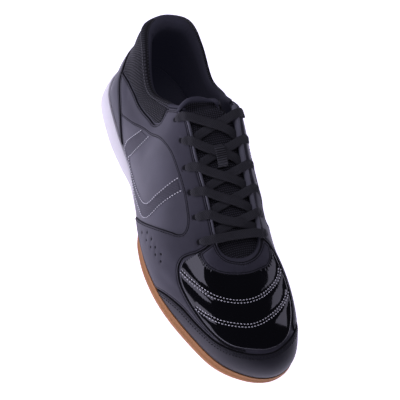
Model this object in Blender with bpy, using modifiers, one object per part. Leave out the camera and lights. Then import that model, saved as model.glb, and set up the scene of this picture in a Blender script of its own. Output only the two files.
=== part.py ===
"""Right indoor court shoe: a hollow upper on a gum sole, as separate named pieces.

X runs from the heel to the toe, Y towards the inner (medial) side of the foot and Z up.
The shoe stands on Z = 0 with its outline centred on the origin.
Every curved piece reads one surface: a ring of stations round the last, each with a wall curve
from the sole edge (height 0) to the top line (height 1).
"""

from collections import namedtuple

import bmesh
import bpy
import numpy as np
from mathutils import Matrix, Vector

# Driving sizes, in metres
LENGTH = 0.294
BALL_WIDTH = 0.101
INSTEP_HEIGHT = 0.101
WALL = 0.002
OVERLAY = 0.0012
GAP = 0.00035
PANEL_DEPTH = 0.002
LACE_WIDTH = 0.007
LACE_THICK = 0.0011
TONGUE_THICK = 0.0035
INSOLE_THICK = 0.0035
CUFF_THICK = 0.006
CUFF_RISE = 0.003
EYELET_RADIUS = 0.0018
EYELET_INSETS = (0.0085, 0.0145)
INNER_EYELET_INSETS = (0.0115, 0.0085)
EYELET_ROWS = 6
GROOVE_WIDTH = 0.0035
GROOVE_DEPTH = 0.0016
GROOVE_SPAN = 1.3 * BALL_WIDTH

# The pattern size that the tables are drawn for, in millimetres
MM = 0.001
PATTERN_LENGTH = 294
PATTERN_BALL = 101
PATTERN_INSTEP = 101
SCALE = np.array([LENGTH / PATTERN_LENGTH, BALL_WIDTH / PATTERN_BALL, INSTEP_HEIGHT / PATTERN_INSTEP])

# Stations round the last, from the heel along the outer side to the toe and back along the inner side:
# facing in degrees, the sole edge, the wall's outward flare and rise from it,
# the top line, and the wall's outward reach and fall from that
Station = namedtuple("Station", "facing foot_x foot_y flare rise top_x top_y top_z reach fall")
STATIONS = (
    Station(180, 4, 0, 5, 32, 5, 3, 88, -8, 18),
    Station(222, 11, -20, 5, 32, 12, -13, 87, -4, 18),
    Station(252, 29, -34, 4, 30, 30, -21, 82, 1, 16),
    Station(268, 62, -38, 4, 30, 60, -25, 72, 4, 14),
    Station(272, 98, -38, 5, 34, 84, -22, 85, 6, 14),
    Station(270, 127, -42, 5, 35, 102, -18, 101, 12, 12),
    Station(270, 154, -48, 3, 32, 132, -17, 90, 15, 12),
    Station(276, 182, -51, 3, 28, 161, -15, 79, 18, 11),
    Station(290, 210, -48, 3, 26, 187, -15, 69, 19, 11),
    Station(304, 240, -38, 3, 26, 198, -14, 65, 26, 11),
    Station(316, 268, -25, 3, 26, 204, -9, 63, 37, 12),
    Station(332, 284, -8, 3, 26, 207, -1, 62, 46, 12),
    Station(360, 291, 10, 3, 26, 207.5, 5, 62, 50, 12),
    Station(385, 288, 26, 3, 26, 206.5, 11, 62, 46, 12),
    Station(405, 278, 37, 1, 26, 204, 16, 63, 37, 12),
    Station(425, 261, 43, 0, 26, 198, 20.5, 65, 25, 11),
    Station(440, 237, 45, 0, 26, 187, 22.5, 69, 14, 11),
    Station(450, 208, 44, 1, 28, 161, 20.5, 80, 13, 11),
    Station(458, 175, 40, 2, 32, 132, 20, 92, 13, 12),
    Station(458, 140, 34, 5, 35, 102, 21.5, 103, 11, 12),
    Station(452, 105, 32, 5, 34, 84, 27, 87, 5, 14),
    Station(448, 70, 33, 4, 30, 60, 29, 74, 4, 14),
    Station(462, 38, 32, 4, 30, 30, 29, 79, 1, 16),
    Station(498, 13, 20, 5, 32, 12, 20, 87, -4, 18),
)
STATION_COUNT = len(STATIONS)
TOE = STATION_COUNT / 2
RING_STEPS = 60
RING_STEP = STATION_COUNT / RING_STEPS
WALL_STEPS = 8

# Sole profiles along the length: distance from the heel and height or width, in millimetres
SOLE_TOP = ((0, 22), (60, 20), (90, 15), (110, 10), (130, 8), (155, 9), (190, 12), (240, 14), (294, 20))
SOLE_BOTTOM = ((0, 3), (14, 0), (85, 0), (112, 2), (145, 0), (225, 0), (260, 3), (294, 9))
GUM_TOP = ((0, 7), (14, 4.5), (84, 4.5), (112, 7), (130, 8), (155, 9), (190, 12), (240, 14), (294, 20))
SOLE_LEDGE = ((0, 3.5), (60, 3.5), (90, 2), (110, -1), (140, -1), (160, 1.5), (190, 2.5), (294, 3))
SOLE_STEPS = 27
MIDSOLE_STEPS = 11
SOLE_ENDS = 0.14
SOLE_LANES = 4
GROOVE_PLACES = (28, 46, 64, 158, 174, 190, 206, 222)

# Side profiles: inward offset in millimetres at a share of the height
GUM_SIDE = ((1.6, 0.0), (0.2, 0.18), (0.0, 0.45), (0.0, 0.62), (0.9, 0.7), (1.2, 1.0))
MIDSOLE_SIDE = ((0.9, 0.0), (0.2, 0.2), (0.3, 0.6), (1.4, 1.0))

# Panel edges on the upper: station and height
CAP_EDGE = ((7.7, .03), (8, .12), (8.55, .225), (9.11, .25), (9.67, .285), (10.28, .325), (11.25, .37),
            (12.01, .392), (12.79, .417), (13.42, .40), (14.28, .324), (15, .24), (15.8, .12), (16.3, .03))
VAMP_LOW = ((7.9, .52), (8.07, .442), (8.58, .396), (9.24, .374), (9.89, .374), (10.41, .375),
            (11.28, .418), (12.02, .431), (12.85, .456), (13.32, .501), (14.13, .592), (14.55, .689),
            (15.05, .79))
VAMP_HIGH = ((7.9, .573), (8.11, .712), (8.68, .762), (10.06, .87), (11.27, .909), (12.66, .906),
             (13.79, .873), (15.05, .845))
GUARD_LOW = ((8.17, .736), (8.69, .776), (10.07, .881), (11.28, .92), (12.67, .917), (13.79, .885),
             (15.21, .86))
EYESTAY_LOW = ((2.25, .38), (2.65, .31), (2.95, .25), (3.83, .52), (5.08, .65), (5.58, .71), (6.2, .745),
               (6.93, .73), (7.17, .71), (7.3, .655), (7.8, .58), (7.9, .62), (8.03, .71))
EYESTAY_HIGH = ((2.25, .45), (2.93, .69), (3.73, .71), (4.15, .72), (4.3, .965), (4.8, .985),
                (8.03, .985))
INNER_STAY_LOW = (*EYESTAY_LOW[:-4], (7.3, .64), (7.8, .56), (7.9, .60), (7.98, .665), (8.06, .87),
                  (8.38, .875))
INNER_STAY_HIGH = (*EYESTAY_HIGH[:-1], (8.38, .985))
FOREFOOT_LOW = ((5.5, .015), (7.6, .015), (7.75, .06), (8.01, .135), (8.55, .237), (9.12, .263),
                (9.68, .297))
FOREFOOT_HIGH = ((5.5, .03), (7.02, .50), (7.3, .616), (7.76, .56), (8.02, .431), (8.58, .38), (9.15, .36),
                 (9.68, .358))
INNER_LOW = ((5.5, .015), (7.6, .015), (7.75, .05), (8.2, .132), (9, .252), (9.8, .352), (10.6, .412))
INNER_HIGH = ((5.5, .03), (7.02, .50), (7.3, .60), (7.75, .545), (7.9, .565), (8.1, .63), (8.2, .815),
              (8.8, .815), (8.9, .755), (9.45, .67), (9.87, .572), (10.6, .485))
COUNTER_HIGH = ((-3.4, .03), (-2.65, .27), (-2.1, .37), (-1.5, .48), (-0.9, .50), (0, .52), (0.9, .50),
                (1.5, .48), (2.1, .37), (2.65, .27), (3.4, .03))
PANEL_FOOT = 0.015
PANEL_TOP = 0.985
PATCH_LANES = 4

# Tongue, laces and cuff, as stations, heights and shares
TONGUE_FRONT = 11.6
TONGUE_BACK = 4.8
TONGUE_UNDER = 2
TONGUE_LANES = 5
TONGUE_TIP = (-0.75, 0.0, 0.66)
TONGUE_TIP_ROWS = (0.004, 0.009)
TONGUE_TIP_WIDTH = 0.6
TONGUE_PIVOT = TONGUE_UNDER + 1
TONGUE_DROP = WALL + 1.6 * GAP
BRIDGE_PULL = 0.3
BRIDGE_ROOT = 0.96
EYELET_ENDS = (4.88, 7.82)
INNER_EYELET_ENDS = (5.1, 8.12)
LACE_SHARES = (-1.5, -1.25, -1.08, -1.0, -0.85, -0.5, -0.2, 0.2, 0.55, 0.84)
LACE_RISE_FROM = 0.2
LACE_SHORT = 0.12
LACE_CLEAR = 0.0005
LACE_SEAT = 0.0008
LACE_OVER = 0.0003
BAR_LIFT = 0.0024
CUFF_EAR = 4.0
LOOP_WIDTH = 0.010
LOOP_HALF = 0.0085
LOOP_TOP = 0.0044
LOOP_ARCH = ((-1, 0.1), (-0.9, 0.55), (-0.72, 1), (0, 1), (0.72, 1), (0.9, 0.55), (1, 0.1))

# Finishes from the photograph: base colour, roughness
FINISHES = {
    "gum_rubber": ((0.42, 0.19, 0.10), 0.6),
    "white_foam": ((0.80, 0.78, 0.86), 0.55),
    "black_leather": ((0.040, 0.038, 0.046), 0.55),
    "patent_leather": ((0.004, 0.004, 0.006), 0.08),
    "black_mesh": ((0.012, 0.012, 0.014), 0.85),
    "black_lace": ((0.010, 0.010, 0.011), 0.9),
    "dark_lining": ((0.008, 0.008, 0.010), 0.9),
}


def clear_scene():
    """Removes whatever the file holds, so that the script builds on nothing."""
    for item in list(bpy.data.objects):
        bpy.data.objects.remove(item, do_unlink=True)


def new_collection(name):
    """Returns a new collection under the scene's own."""
    collection = bpy.data.collections.new(name)
    bpy.context.scene.collection.children.link(collection)
    return collection


def finish(name):
    """Returns the named material, making it at its first use."""
    material = bpy.data.materials.get(name)
    if material is None:
        colour, roughness = FINISHES[name]
        material = bpy.data.materials.new(name)
        material.use_nodes = True
        shader = material.node_tree.nodes["Principled BSDF"]
        shader.inputs["Base Color"].default_value = (*colour, 1.0)
        shader.inputs["Roughness"].default_value = roughness
        material.diffuse_color = (*colour, 1.0)
    return material


def profile(table, place):
    """Reads a table of place and value with a smooth curve that never overshoots its rows."""
    rows = np.array(table, float)
    x, y = rows[:, 0], rows[:, 1]
    width = np.diff(x)
    slope = np.diff(y) / width
    tangent = np.zeros(len(x))
    tangent[0], tangent[-1] = slope[0], slope[-1]
    same_way = slope[:-1] * slope[1:] > 0
    steep = np.where(same_way, slope[:-1] + slope[1:], 1.0)
    tangent[1:-1] = np.where(same_way, 2 * slope[:-1] * slope[1:] / steep, 0.0)
    place = np.clip(np.asarray(place, float), x[0], x[-1])
    i = np.clip(np.searchsorted(x, place) - 1, 0, len(x) - 2)
    w = width[i]
    f = (place - x[i]) / w
    rise = y[i] * (1 + 2 * f) * (1 - f) ** 2 + y[i + 1] * f * f * (3 - 2 * f)
    return rise + w * f * (1 - f) * (tangent[i] * (1 - f) - tangent[i + 1] * f)


def station(place):
    """Blends the stations round the ring at a place counted in stations."""
    rows = np.array(STATIONS, float)
    turn = np.zeros(rows.shape[1])
    turn[0] = 360
    place = np.asarray(place, float)
    i = np.floor(place).astype(int)
    f = (place - i)[..., None]

    def row(k):
        return rows[k % STATION_COUNT] + turn * (k // STATION_COUNT)[..., None]

    a, b, c, d = row(i - 1), row(i), row(i + 1), row(i + 2)
    return 0.5 * (2 * b + (c - a) * f + (2 * a - 5 * b + 4 * c - d) * f ** 2
                  + (3 * b - a - 3 * c + d) * f ** 3)


def wall(place, height):
    """The upper's outer surface, in metres from the heel: a Bezier wall at each station."""
    place, height = np.broadcast_arrays(np.asarray(place, float), np.asarray(height, float))
    row = Station(*np.moveaxis(station(place), -1, 0))
    facing = np.radians(row.facing)
    out_x, out_y = np.cos(facing), np.sin(facing)
    foot_z = profile(SOLE_TOP, row.foot_x) + GAP / MM
    foot = np.stack([row.foot_x, row.foot_y, foot_z], -1)
    side = foot + np.stack([out_x * row.flare, out_y * row.flare, row.rise], -1)
    top = np.stack([row.top_x, row.top_y, row.top_z], -1)
    shoulder = top + np.stack([out_x * row.reach, out_y * row.reach, -row.fall], -1)
    s = height[..., None]
    curve = foot * (1 - s) ** 3 + 3 * side * s * (1 - s) ** 2 + 3 * shoulder * s * s * (1 - s) + top * s ** 3
    return curve * SCALE


def outward(place, height):
    """Unit normals of the upper's surface, pointing out of the shoe."""
    step = 0.01
    along = wall(np.asarray(place) + step, height) - wall(np.asarray(place) - step, height)
    high = np.minimum(np.asarray(height) + step, 1.0)
    low = np.maximum(np.asarray(height) - step, 0.0)
    up = wall(place, high) - wall(place, low)
    normal = np.cross(along, up)
    return normal / np.linalg.norm(normal, axis=-1, keepdims=True)


def skin(place, height, lift):
    """A point on the upper's surface, raised along its normal."""
    return wall(place, height) + outward(place, height) * lift


def wall_heights():
    """Heights of the upper's rows of faces."""
    return np.linspace(0, 1, WALL_STEPS + 1)


def sole_edge(place):
    """The sole's outline and its outward direction in plan."""
    row = Station(*np.moveaxis(station(place), -1, 0))
    facing = np.radians(row.facing)
    out = np.stack([np.cos(facing), np.sin(facing)], -1)
    ledge = profile(SOLE_LEDGE, row.foot_x)[..., None]
    return (np.stack([row.foot_x, row.foot_y], -1) + out * ledge) * SCALE[:2], out


def frame_shift():
    """The move that centres the outline on the origin."""
    edge = sole_edge(np.linspace(0, STATION_COUNT, 40 * STATION_COUNT))[0]
    middle = (edge.min(0) + edge.max(0)) / 2
    return np.array([-middle[0], -middle[1], 0.0])


def add_mesh(name, points, faces, material, collection):
    """Makes one smooth-shaded object from points in the heel frame."""
    mesh = bpy.data.meshes.new(name)
    mesh.from_pydata([tuple(p) for p in np.asarray(points) + frame_shift()], [], faces)
    mesh.materials.append(finish(material))
    mesh.update()
    item = bpy.data.objects.new(name, mesh)
    collection.objects.link(item)
    mesh.shade_smooth()
    mesh.set_sharp_from_angle(angle=np.radians(40))
    return item


def sheet(name, grid, thick, side, material, collection, ring=False):
    """A grid of points made a closed wall by Solidify, out of (1) or into (-1) its own side."""
    rows, lanes = grid.shape[:2]
    spans = rows if ring else rows - 1
    faces = []
    for i in range(spans):
        for j in range(lanes - 1):
            a, b = i * lanes + j, ((i + 1) % rows) * lanes + j
            faces.append((a, b, b + 1, a + 1))
    item = add_mesh(name, grid.reshape(-1, 3), faces, material, collection)
    solid = item.modifiers.new("thickness", "SOLIDIFY")
    solid.thickness = thick
    solid.offset = side
    solid.use_even_offset = True
    solid.use_quality_normals = True
    return item


def loft(name, loops, material, collection):
    """A closed body through loops of equal length, with flat ends."""
    count = len(loops[0])
    faces = [tuple(range(count))[::-1]]
    for i in range(len(loops) - 1):
        for j in range(count):
            k = (j + 1) % count
            faces.append((i * count + j, i * count + k, (i + 1) * count + k, (i + 1) * count + j))
    last = (len(loops) - 1) * count
    faces.append(tuple(range(last, last + count)))
    item = add_mesh(name, np.concatenate(loops), faces, material, collection)
    shape = bmesh.new()
    shape.from_mesh(item.data)
    bmesh.ops.recalc_face_normals(shape, faces=shape.faces)
    shape.to_mesh(item.data)
    shape.free()
    return item


def cut(item, cutter, operation="DIFFERENCE"):
    """Adds a Boolean of a cutter to an object."""
    boolean = item.modifiers.new(cutter.name, "BOOLEAN")
    boolean.operation = operation
    boolean.object = cutter
    boolean.solver = "EXACT"


def as_cutter(item):
    """Marks an object as a cutter, shown as wire and left out of renders."""
    item.hide_render = True
    item.display_type = "WIRE"
    return item


def sole_places():
    """Stations at which the sole and the insole have their sections."""
    return np.linspace(SOLE_ENDS, TOE - SOLE_ENDS, SOLE_STEPS)


def sole_section(place, side, low, high):
    """One closed loop across the sole, from the outer bottom edge round to the outer top edge."""
    lateral, lateral_out = sole_edge(place)
    medial, medial_out = sole_edge(STATION_COUNT - place)

    def edges(inset):
        return lateral - lateral_out * inset * MM, medial - medial_out * inset * MM

    def height(table, x):
        return profile(table, x / SCALE[0]) * SCALE[2]

    def lane(inset, share, table):
        a, b = edges(inset)
        plan = a + (b - a) * share
        return np.array([*plan, height(table, plan[0])])

    lanes = np.linspace(0, 1, SOLE_LANES)
    loop = [lane(side[0][0], share, low) for share in lanes]
    rise = []
    for inset, share in side[1:-1]:
        a, b = edges(inset)
        pair = []
        for plan in (a, b):
            floor, roof = height(low, plan[0]), height(high, plan[0])
            pair.append(np.array([*plan, floor + (roof - floor) * share]))
        rise.append(pair)
    loop += [pair[1] for pair in rise]
    loop += [lane(side[-1][0], share, high) for share in lanes[::-1]]
    loop += [pair[0] for pair in rise[::-1]]
    return np.array(loop)


def make_outsole(collection, cutters):
    """Gum outsole: thin under the heel, a cup side round the forefoot, toe spring and flex grooves."""
    loops = [sole_section(p, GUM_SIDE, SOLE_BOTTOM, GUM_TOP) for p in sole_places()]
    item = loft("outsole", loops, "gum_rubber", collection)
    shift = frame_shift()
    shape = bmesh.new()
    for place in GROOVE_PLACES:
        box = bmesh.ops.create_cube(shape, size=1.0)["verts"]
        size = Matrix.Diagonal((GROOVE_WIDTH, GROOVE_SPAN, 2 * GROOVE_DEPTH, 1.0))
        move = Matrix.Translation((place * SCALE[0] + shift[0], 0.0, 0.0))
        bmesh.ops.transform(shape, matrix=move @ size, verts=box)
    mesh = bpy.data.meshes.new("flex_grooves")
    shape.to_mesh(mesh)
    shape.free()
    grooves = as_cutter(bpy.data.objects.new("flex_grooves", mesh))
    cutters.objects.link(grooves)
    cut(item, grooves)


def make_midsole(collection):
    """White foam wedge from the heel to the waist, on the gum layer."""
    seat = tuple((x, z + GAP / MM) for x, z in GUM_TOP)
    loops = [sole_section(p, MIDSOLE_SIDE, seat, SOLE_TOP) for p in sole_places()[:MIDSOLE_STEPS]]
    loft("midsole", loops, "white_foam", collection)


def make_insole(collection):
    """Insole board inside the upper, on the sole."""
    inset = WALL + 4 * GAP
    lanes = np.linspace(0, 1, SOLE_LANES)
    grid = []
    for place in sole_places()[1:-1]:
        ends = []
        for p in (STATION_COUNT - place, place):
            row = Station(*station(p))
            facing = np.radians(row.facing)
            out = np.array([np.cos(facing), np.sin(facing)])
            ends.append(np.array([row.foot_x, row.foot_y]) * SCALE[:2] - out * inset)
        plan = ends[0] + (ends[1] - ends[0]) * lanes[:, None]
        floor = profile(SOLE_TOP, plan[:, 0] / SCALE[0]) * SCALE[2] + GAP
        grid.append(np.column_stack([plan, floor]))
    sheet("insole", np.array(grid)[:, ::-1], INSOLE_THICK, 1, "dark_lining", collection)


def eyelet_height(place):
    """The height at which an eyelet sits its inset below the throat's edge."""
    if place < TOE:
        inset = np.interp(place, EYELET_ENDS, EYELET_INSETS)
    else:
        inset = np.interp(STATION_COUNT - place, INNER_EYELET_ENDS, INNER_EYELET_INSETS)
    heights = np.linspace(1, 0.5, 101)
    line = wall(np.full(101, place), heights)
    run = np.concatenate([[0], np.cumsum(np.linalg.norm(np.diff(line, axis=0), axis=1))])
    return np.interp(inset, run, heights)


def eyelet_places(inner):
    """Places of one side's eyelets from the ankle to the toe, counted from the heel on that side."""
    first, last = INNER_EYELET_ENDS if inner else EYELET_ENDS
    return np.linspace(first, last, EYELET_ROWS)


def make_eyelet_punch(name, inner, cutters):
    """Round punches through one eyestay and the wall under it."""
    shape = bmesh.new()
    for place in eyelet_places(inner):
        at = STATION_COUNT - place if inner else place
        height = eyelet_height(at)
        centre = Vector(skin(at, height, 0.0) + frame_shift())
        turn = Vector(outward(at, height)).to_track_quat("Z", "Y").to_matrix().to_4x4()
        bmesh.ops.create_cone(shape, cap_ends=True, segments=6, radius1=EYELET_RADIUS,
                              radius2=EYELET_RADIUS, depth=8 * WALL,
                              matrix=Matrix.Translation(centre) @ turn)
    mesh = bpy.data.meshes.new(name)
    shape.to_mesh(mesh)
    shape.free()
    punch = as_cutter(bpy.data.objects.new(name, mesh))
    cutters.objects.link(punch)
    return punch


def make_upper(collection, punches):
    """The hollow upper: one wall round the last, open at collar, throat and underneath."""
    places = np.linspace(0, STATION_COUNT, RING_STEPS, endpoint=False)
    grid = wall(places[:, None], wall_heights()[None, :])
    item = sheet("upper", grid, WALL, -1, "black_leather", collection, ring=True)
    for punch in punches:
        cut(item, punch)


def panel(name, low, high, material, collection, cutters, mirrored=False):
    """An overlay: a layer of the upper's own form, kept between two edges by a thick patch."""
    first, last = low[0][0], low[-1][0]
    ring = np.arange(np.floor(first / RING_STEP), np.ceil(last / RING_STEP) + 1) * RING_STEP
    corners = np.unique([t for t, _ in (*low, *high)])
    if mirrored:
        ring = STATION_COUNT - ring[::-1]
        corners = corners[::-1]
    layer = sheet(name, skin(ring[:, None], wall_heights()[None, :], GAP), OVERLAY, 1, material, collection)
    patch = []
    for place in corners:
        edge = np.linspace(profile(low, place), profile(high, place), PATCH_LANES + 1)
        at = STATION_COUNT - place if mirrored else place
        patch.append(skin(np.full(PATCH_LANES + 1, at), edge, -PANEL_DEPTH))
    punch = sheet(name + "_punch", np.array(patch), 2 * PANEL_DEPTH + OVERLAY, 1, material, cutters)
    cut(layer, as_cutter(punch), "INTERSECT")
    return layer


def make_panels(collection, cutters, punches):
    """Toe cap, patent vamp, throat guard, counter, eyestays and forefoot sides."""
    foot = tuple((t, PANEL_FOOT) for t, _ in CAP_EDGE)
    panel("toe_cap", foot, CAP_EDGE, "black_leather", collection, cutters)
    panel("vamp_panel", VAMP_LOW, VAMP_HIGH, "patent_leather", collection, cutters)
    top = tuple((t, PANEL_TOP) for t, _ in GUARD_LOW)
    panel("throat_guard", GUARD_LOW, top, "black_leather", collection, cutters)
    foot = tuple((t, PANEL_FOOT) for t, _ in COUNTER_HIGH)
    panel("heel_counter", foot, COUNTER_HIGH, "black_leather", collection, cutters)
    outer = panel("eyestay_lateral", EYESTAY_LOW, EYESTAY_HIGH, "black_leather", collection, cutters)
    cut(outer, punches[0])
    inner = panel("eyestay_medial", INNER_STAY_LOW, INNER_STAY_HIGH, "black_leather", collection, cutters,
                  mirrored=True)
    cut(inner, punches[1])
    panel("forefoot_lateral", FOREFOOT_LOW, FOREFOOT_HIGH, "black_leather", collection, cutters)
    panel("forefoot_medial", INNER_LOW, INNER_HIGH, "black_leather", collection, cutters, mirrored=True)


def make_cuff(collection):
    """Padded collar lining inside the wall, standing a little above its edge."""
    places = np.arange(-CUFF_EAR, CUFF_EAR + RING_STEP / 2, RING_STEP)
    heights = wall_heights()[WALL_STEPS // 2:]
    grid = skin(places[:, None], heights[None, :], -WALL - GAP)
    climb = grid[:, -1] - grid[:, -2]
    climb /= np.linalg.norm(climb, axis=1, keepdims=True)
    crown = grid[:, -1] + climb * CUFF_RISE
    grid = np.concatenate([grid, crown[:, None]], axis=1)
    sheet("collar_cuff", grid, CUFF_THICK, -1, "dark_lining", collection)


def bridge(place, share):
    """The tongue's face over the open throat, from the outer edge (-1) to the inner edge (1)."""
    ends, pulls = [], []
    for p in (place, STATION_COUNT - place):
        edge, below = skin(p, 1.0, -TONGUE_DROP), skin(p, BRIDGE_ROOT, -TONGUE_DROP)
        ends.append(edge)
        pulls.append((edge - below) / np.linalg.norm(edge - below))
    chord = np.linalg.norm(ends[1] - ends[0]) * BRIDGE_PULL
    w = (np.asarray(share, float)[..., None] + 1) / 2
    return (ends[0] * (1 + 2 * w) * (1 - w) ** 2 + ends[1] * w * w * (3 - 2 * w)
            + chord * w * (1 - w) * (pulls[0] * (1 - w) + pulls[1] * w))


def bridge_up(place, share):
    """Unit normal of the tongue's face over the throat."""
    step = 0.05
    along = bridge(place + step, np.array(share)) - bridge(place - step, np.array(share))
    across = bridge(place, np.array(share + step)) - bridge(place, np.array(share - step))
    normal = np.cross(along, across)
    return normal / np.linalg.norm(normal)


def make_tongue(collection):
    """Padded tongue under both eyestays, from the throat's front to above its top."""
    places = np.arange(TONGUE_FRONT, TONGUE_BACK - RING_STEP / 2, -RING_STEP)
    under = wall_heights()[-1 - TONGUE_UNDER:-1]
    middle = np.linspace(-1, 1, TONGUE_LANES)
    rows = []
    for place in places:
        lateral = skin(np.full(TONGUE_UNDER, place), under, -TONGUE_DROP)
        medial = skin(np.full(TONGUE_UNDER, STATION_COUNT - place), under[::-1], -TONGUE_DROP)
        rows.append(np.concatenate([lateral, bridge(place, middle), medial]))
    end = rows[-1]
    pivot = end[TONGUE_PIVOT:TONGUE_PIVOT + 2].mean(0)
    for step in TONGUE_TIP_ROWS:
        share = step / TONGUE_TIP_ROWS[-1]
        narrow = 1 - (1 - TONGUE_TIP_WIDTH) * np.sqrt(share)
        rows.append(pivot + (end - pivot) * narrow + np.array(TONGUE_TIP) * step)
    grid = np.array(rows[::-1])
    sheet("tongue", grid, TONGUE_THICK, -1, "black_mesh", collection)


def lace_point(place, share, side):
    """A point of the lace: on the eyestay past a share of 1, over the tongue between."""
    if abs(share) > 1:
        at = place if share < 0 else STATION_COUNT - place
        height = 1 + (eyelet_height(at) - 1) * (abs(share) - 1) * 2
        return skin(at, height, GAP + OVERLAY + LACE_SEAT)
    over = max(side * share - LACE_RISE_FROM, 0.0) / (1 - LACE_RISE_FROM)
    climb = LACE_CLEAR + (WALL + GAP + OVERLAY + LACE_SEAT) * over * over
    return bridge(place, np.array(share)) + bridge_up(place, share) * climb


def lace_half(place):
    """Half the lace's width, counted in stations along the throat."""
    step = 0.2
    run = np.linalg.norm(wall(place + step, 0.9) - wall(place - step, 0.9))
    return LACE_WIDTH / 2 * 2 * step / run


def lace_strip(name, stops, collection):
    """A flat lace through stops of station, share, side and lift, each of its lanes seated by itself."""
    grid = []
    for place, share, side, lift in stops:
        raised = bridge_up(place, np.clip(share, -1, 1)) * lift
        lanes = place + lace_half(place) * np.array([-1, 1])
        grid.append([lace_point(lane, share, side) + raised for lane in lanes])
    grid = np.array(grid)
    if stops[0][1] > stops[-1][1]:
        grid = grid[::-1]
    return sheet(name, grid, LACE_THICK, -1, "black_lace", collection)


def lace_run(first, last, side, lift):
    """The stops of one lace from an eyelet on one side to under the opposite edge."""
    stops = []
    for share in LACE_SHARES:
        q = (share - LACE_SHARES[0]) / (LACE_SHARES[-1] - LACE_SHARES[0])
        stops.append((first + (last - first) * q, -side * share, side, lift * np.sin(np.pi * q) ** 2))
    return stops


def make_laces(collection, cutters):
    """A bar at the lowest eyelets and five crossings, each crossing one solid."""
    outer, inner = eyelet_places(False), eyelet_places(True)
    half = [share for share in LACE_SHARES if share < 0]
    bar = []
    for share in half + [0.0] + [-share for share in half[::-1]]:
        place = np.interp(share, (half[0], -half[0]), (outer[-1], inner[-1]))
        bar.append((place, share, np.sign(share), BAR_LIFT * (1 - min(abs(share), 1) ** 2)))
    lace_strip("lace_bar", bar, collection)
    for i in range(EYELET_ROWS - 1):
        upper_run = lace_run(outer[i], inner[i + 1] - LACE_SHORT, -1, LACE_OVER)
        over = lace_strip("lace_cross_%d" % (i + 1), upper_run, collection)
        lower_run = lace_run(inner[i], outer[i + 1] - LACE_SHORT, 1, 0.0)
        under = lace_strip("lace_under_%d" % (i + 1), lower_run, cutters)
        cut(over, as_cutter(under), "UNION")


def make_tongue_loop(collection):
    """Webbing keeper on the tongue, over the second crossing."""
    rows = (eyelet_places(False) + eyelet_places(True)) / 2
    crossing = LACE_SHARES[0] / (LACE_SHARES[0] - LACE_SHARES[-1])
    middle = rows[1] + (rows[2] - rows[1]) * crossing
    spacing = np.linalg.norm(bridge(rows[2], np.array(0.0)) - bridge(rows[1], np.array(0.0)))
    per_metre = (rows[2] - rows[1]) / spacing
    grid = []
    for run, height in LOOP_ARCH:
        place = middle + run * LOOP_HALF * per_metre
        up = bridge_up(place, 0.0)
        point = bridge(place, np.array(0.0)) + up * height * LOOP_TOP
        across = bridge(place, np.array(0.05)) - bridge(place, np.array(-0.05))
        across = across / np.linalg.norm(across) * LOOP_WIDTH / 2
        grid.append([point - across, point, point + across])
    sheet("tongue_loop", np.array(grid), LACE_THICK, 1, "black_lace", collection)


def main():
    clear_scene()
    collection = new_collection("indoor_court_shoe")
    cutters = new_collection("cutters")
    make_outsole(collection, cutters)
    make_midsole(collection)
    make_insole(collection)
    punches = [make_eyelet_punch("eyelet_punch_lateral", False, cutters),
               make_eyelet_punch("eyelet_punch_medial", True, cutters)]
    make_upper(collection, punches)
    make_panels(collection, cutters, punches)
    make_cuff(collection)
    make_tongue(collection)
    make_laces(collection, cutters)
    make_tongue_loop(collection)


main()
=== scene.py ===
"""Looks of a right indoor court shoe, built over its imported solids.

X runs from the heel to the toe, Y towards the inner side of the foot and Z up, in metres.
Every piece of the upper is drawn on one surface, in stations round the last and heights up its wall.
"""

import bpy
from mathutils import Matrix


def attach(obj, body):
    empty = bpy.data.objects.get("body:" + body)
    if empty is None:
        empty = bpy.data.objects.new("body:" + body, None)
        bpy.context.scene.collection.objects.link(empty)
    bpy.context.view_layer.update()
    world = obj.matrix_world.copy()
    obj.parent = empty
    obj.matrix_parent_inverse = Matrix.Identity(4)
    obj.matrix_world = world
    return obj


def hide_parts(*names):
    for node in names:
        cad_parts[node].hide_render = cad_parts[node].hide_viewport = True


bl_info = {
    "name": "Indoor court shoe",
    "version": (1, 0, 0),
    "blender": (4, 5, 0),
    "location": "View3D > Sidebar > Shoe",
    "description": "Dresses the solids of a right indoor court shoe with panels, laces and stitching",
    "category": "Object",
}

from collections import namedtuple

import bmesh
import bpy
import numpy as np
from bpy.props import FloatProperty, FloatVectorProperty, IntProperty, PointerProperty
from mathutils import Matrix, Vector
from mathutils.geometry import delaunay_2d_cdt

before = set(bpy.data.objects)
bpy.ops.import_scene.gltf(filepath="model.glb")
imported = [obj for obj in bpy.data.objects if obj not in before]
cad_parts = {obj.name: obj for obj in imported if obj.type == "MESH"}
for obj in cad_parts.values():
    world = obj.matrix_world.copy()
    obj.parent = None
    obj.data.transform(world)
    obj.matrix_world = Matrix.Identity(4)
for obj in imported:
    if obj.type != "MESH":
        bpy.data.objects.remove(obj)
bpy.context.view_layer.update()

MM = 0.001
SHARP_ANGLE = np.radians(55)
SOLE_SHARP_ANGLE = np.radians(38)

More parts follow.
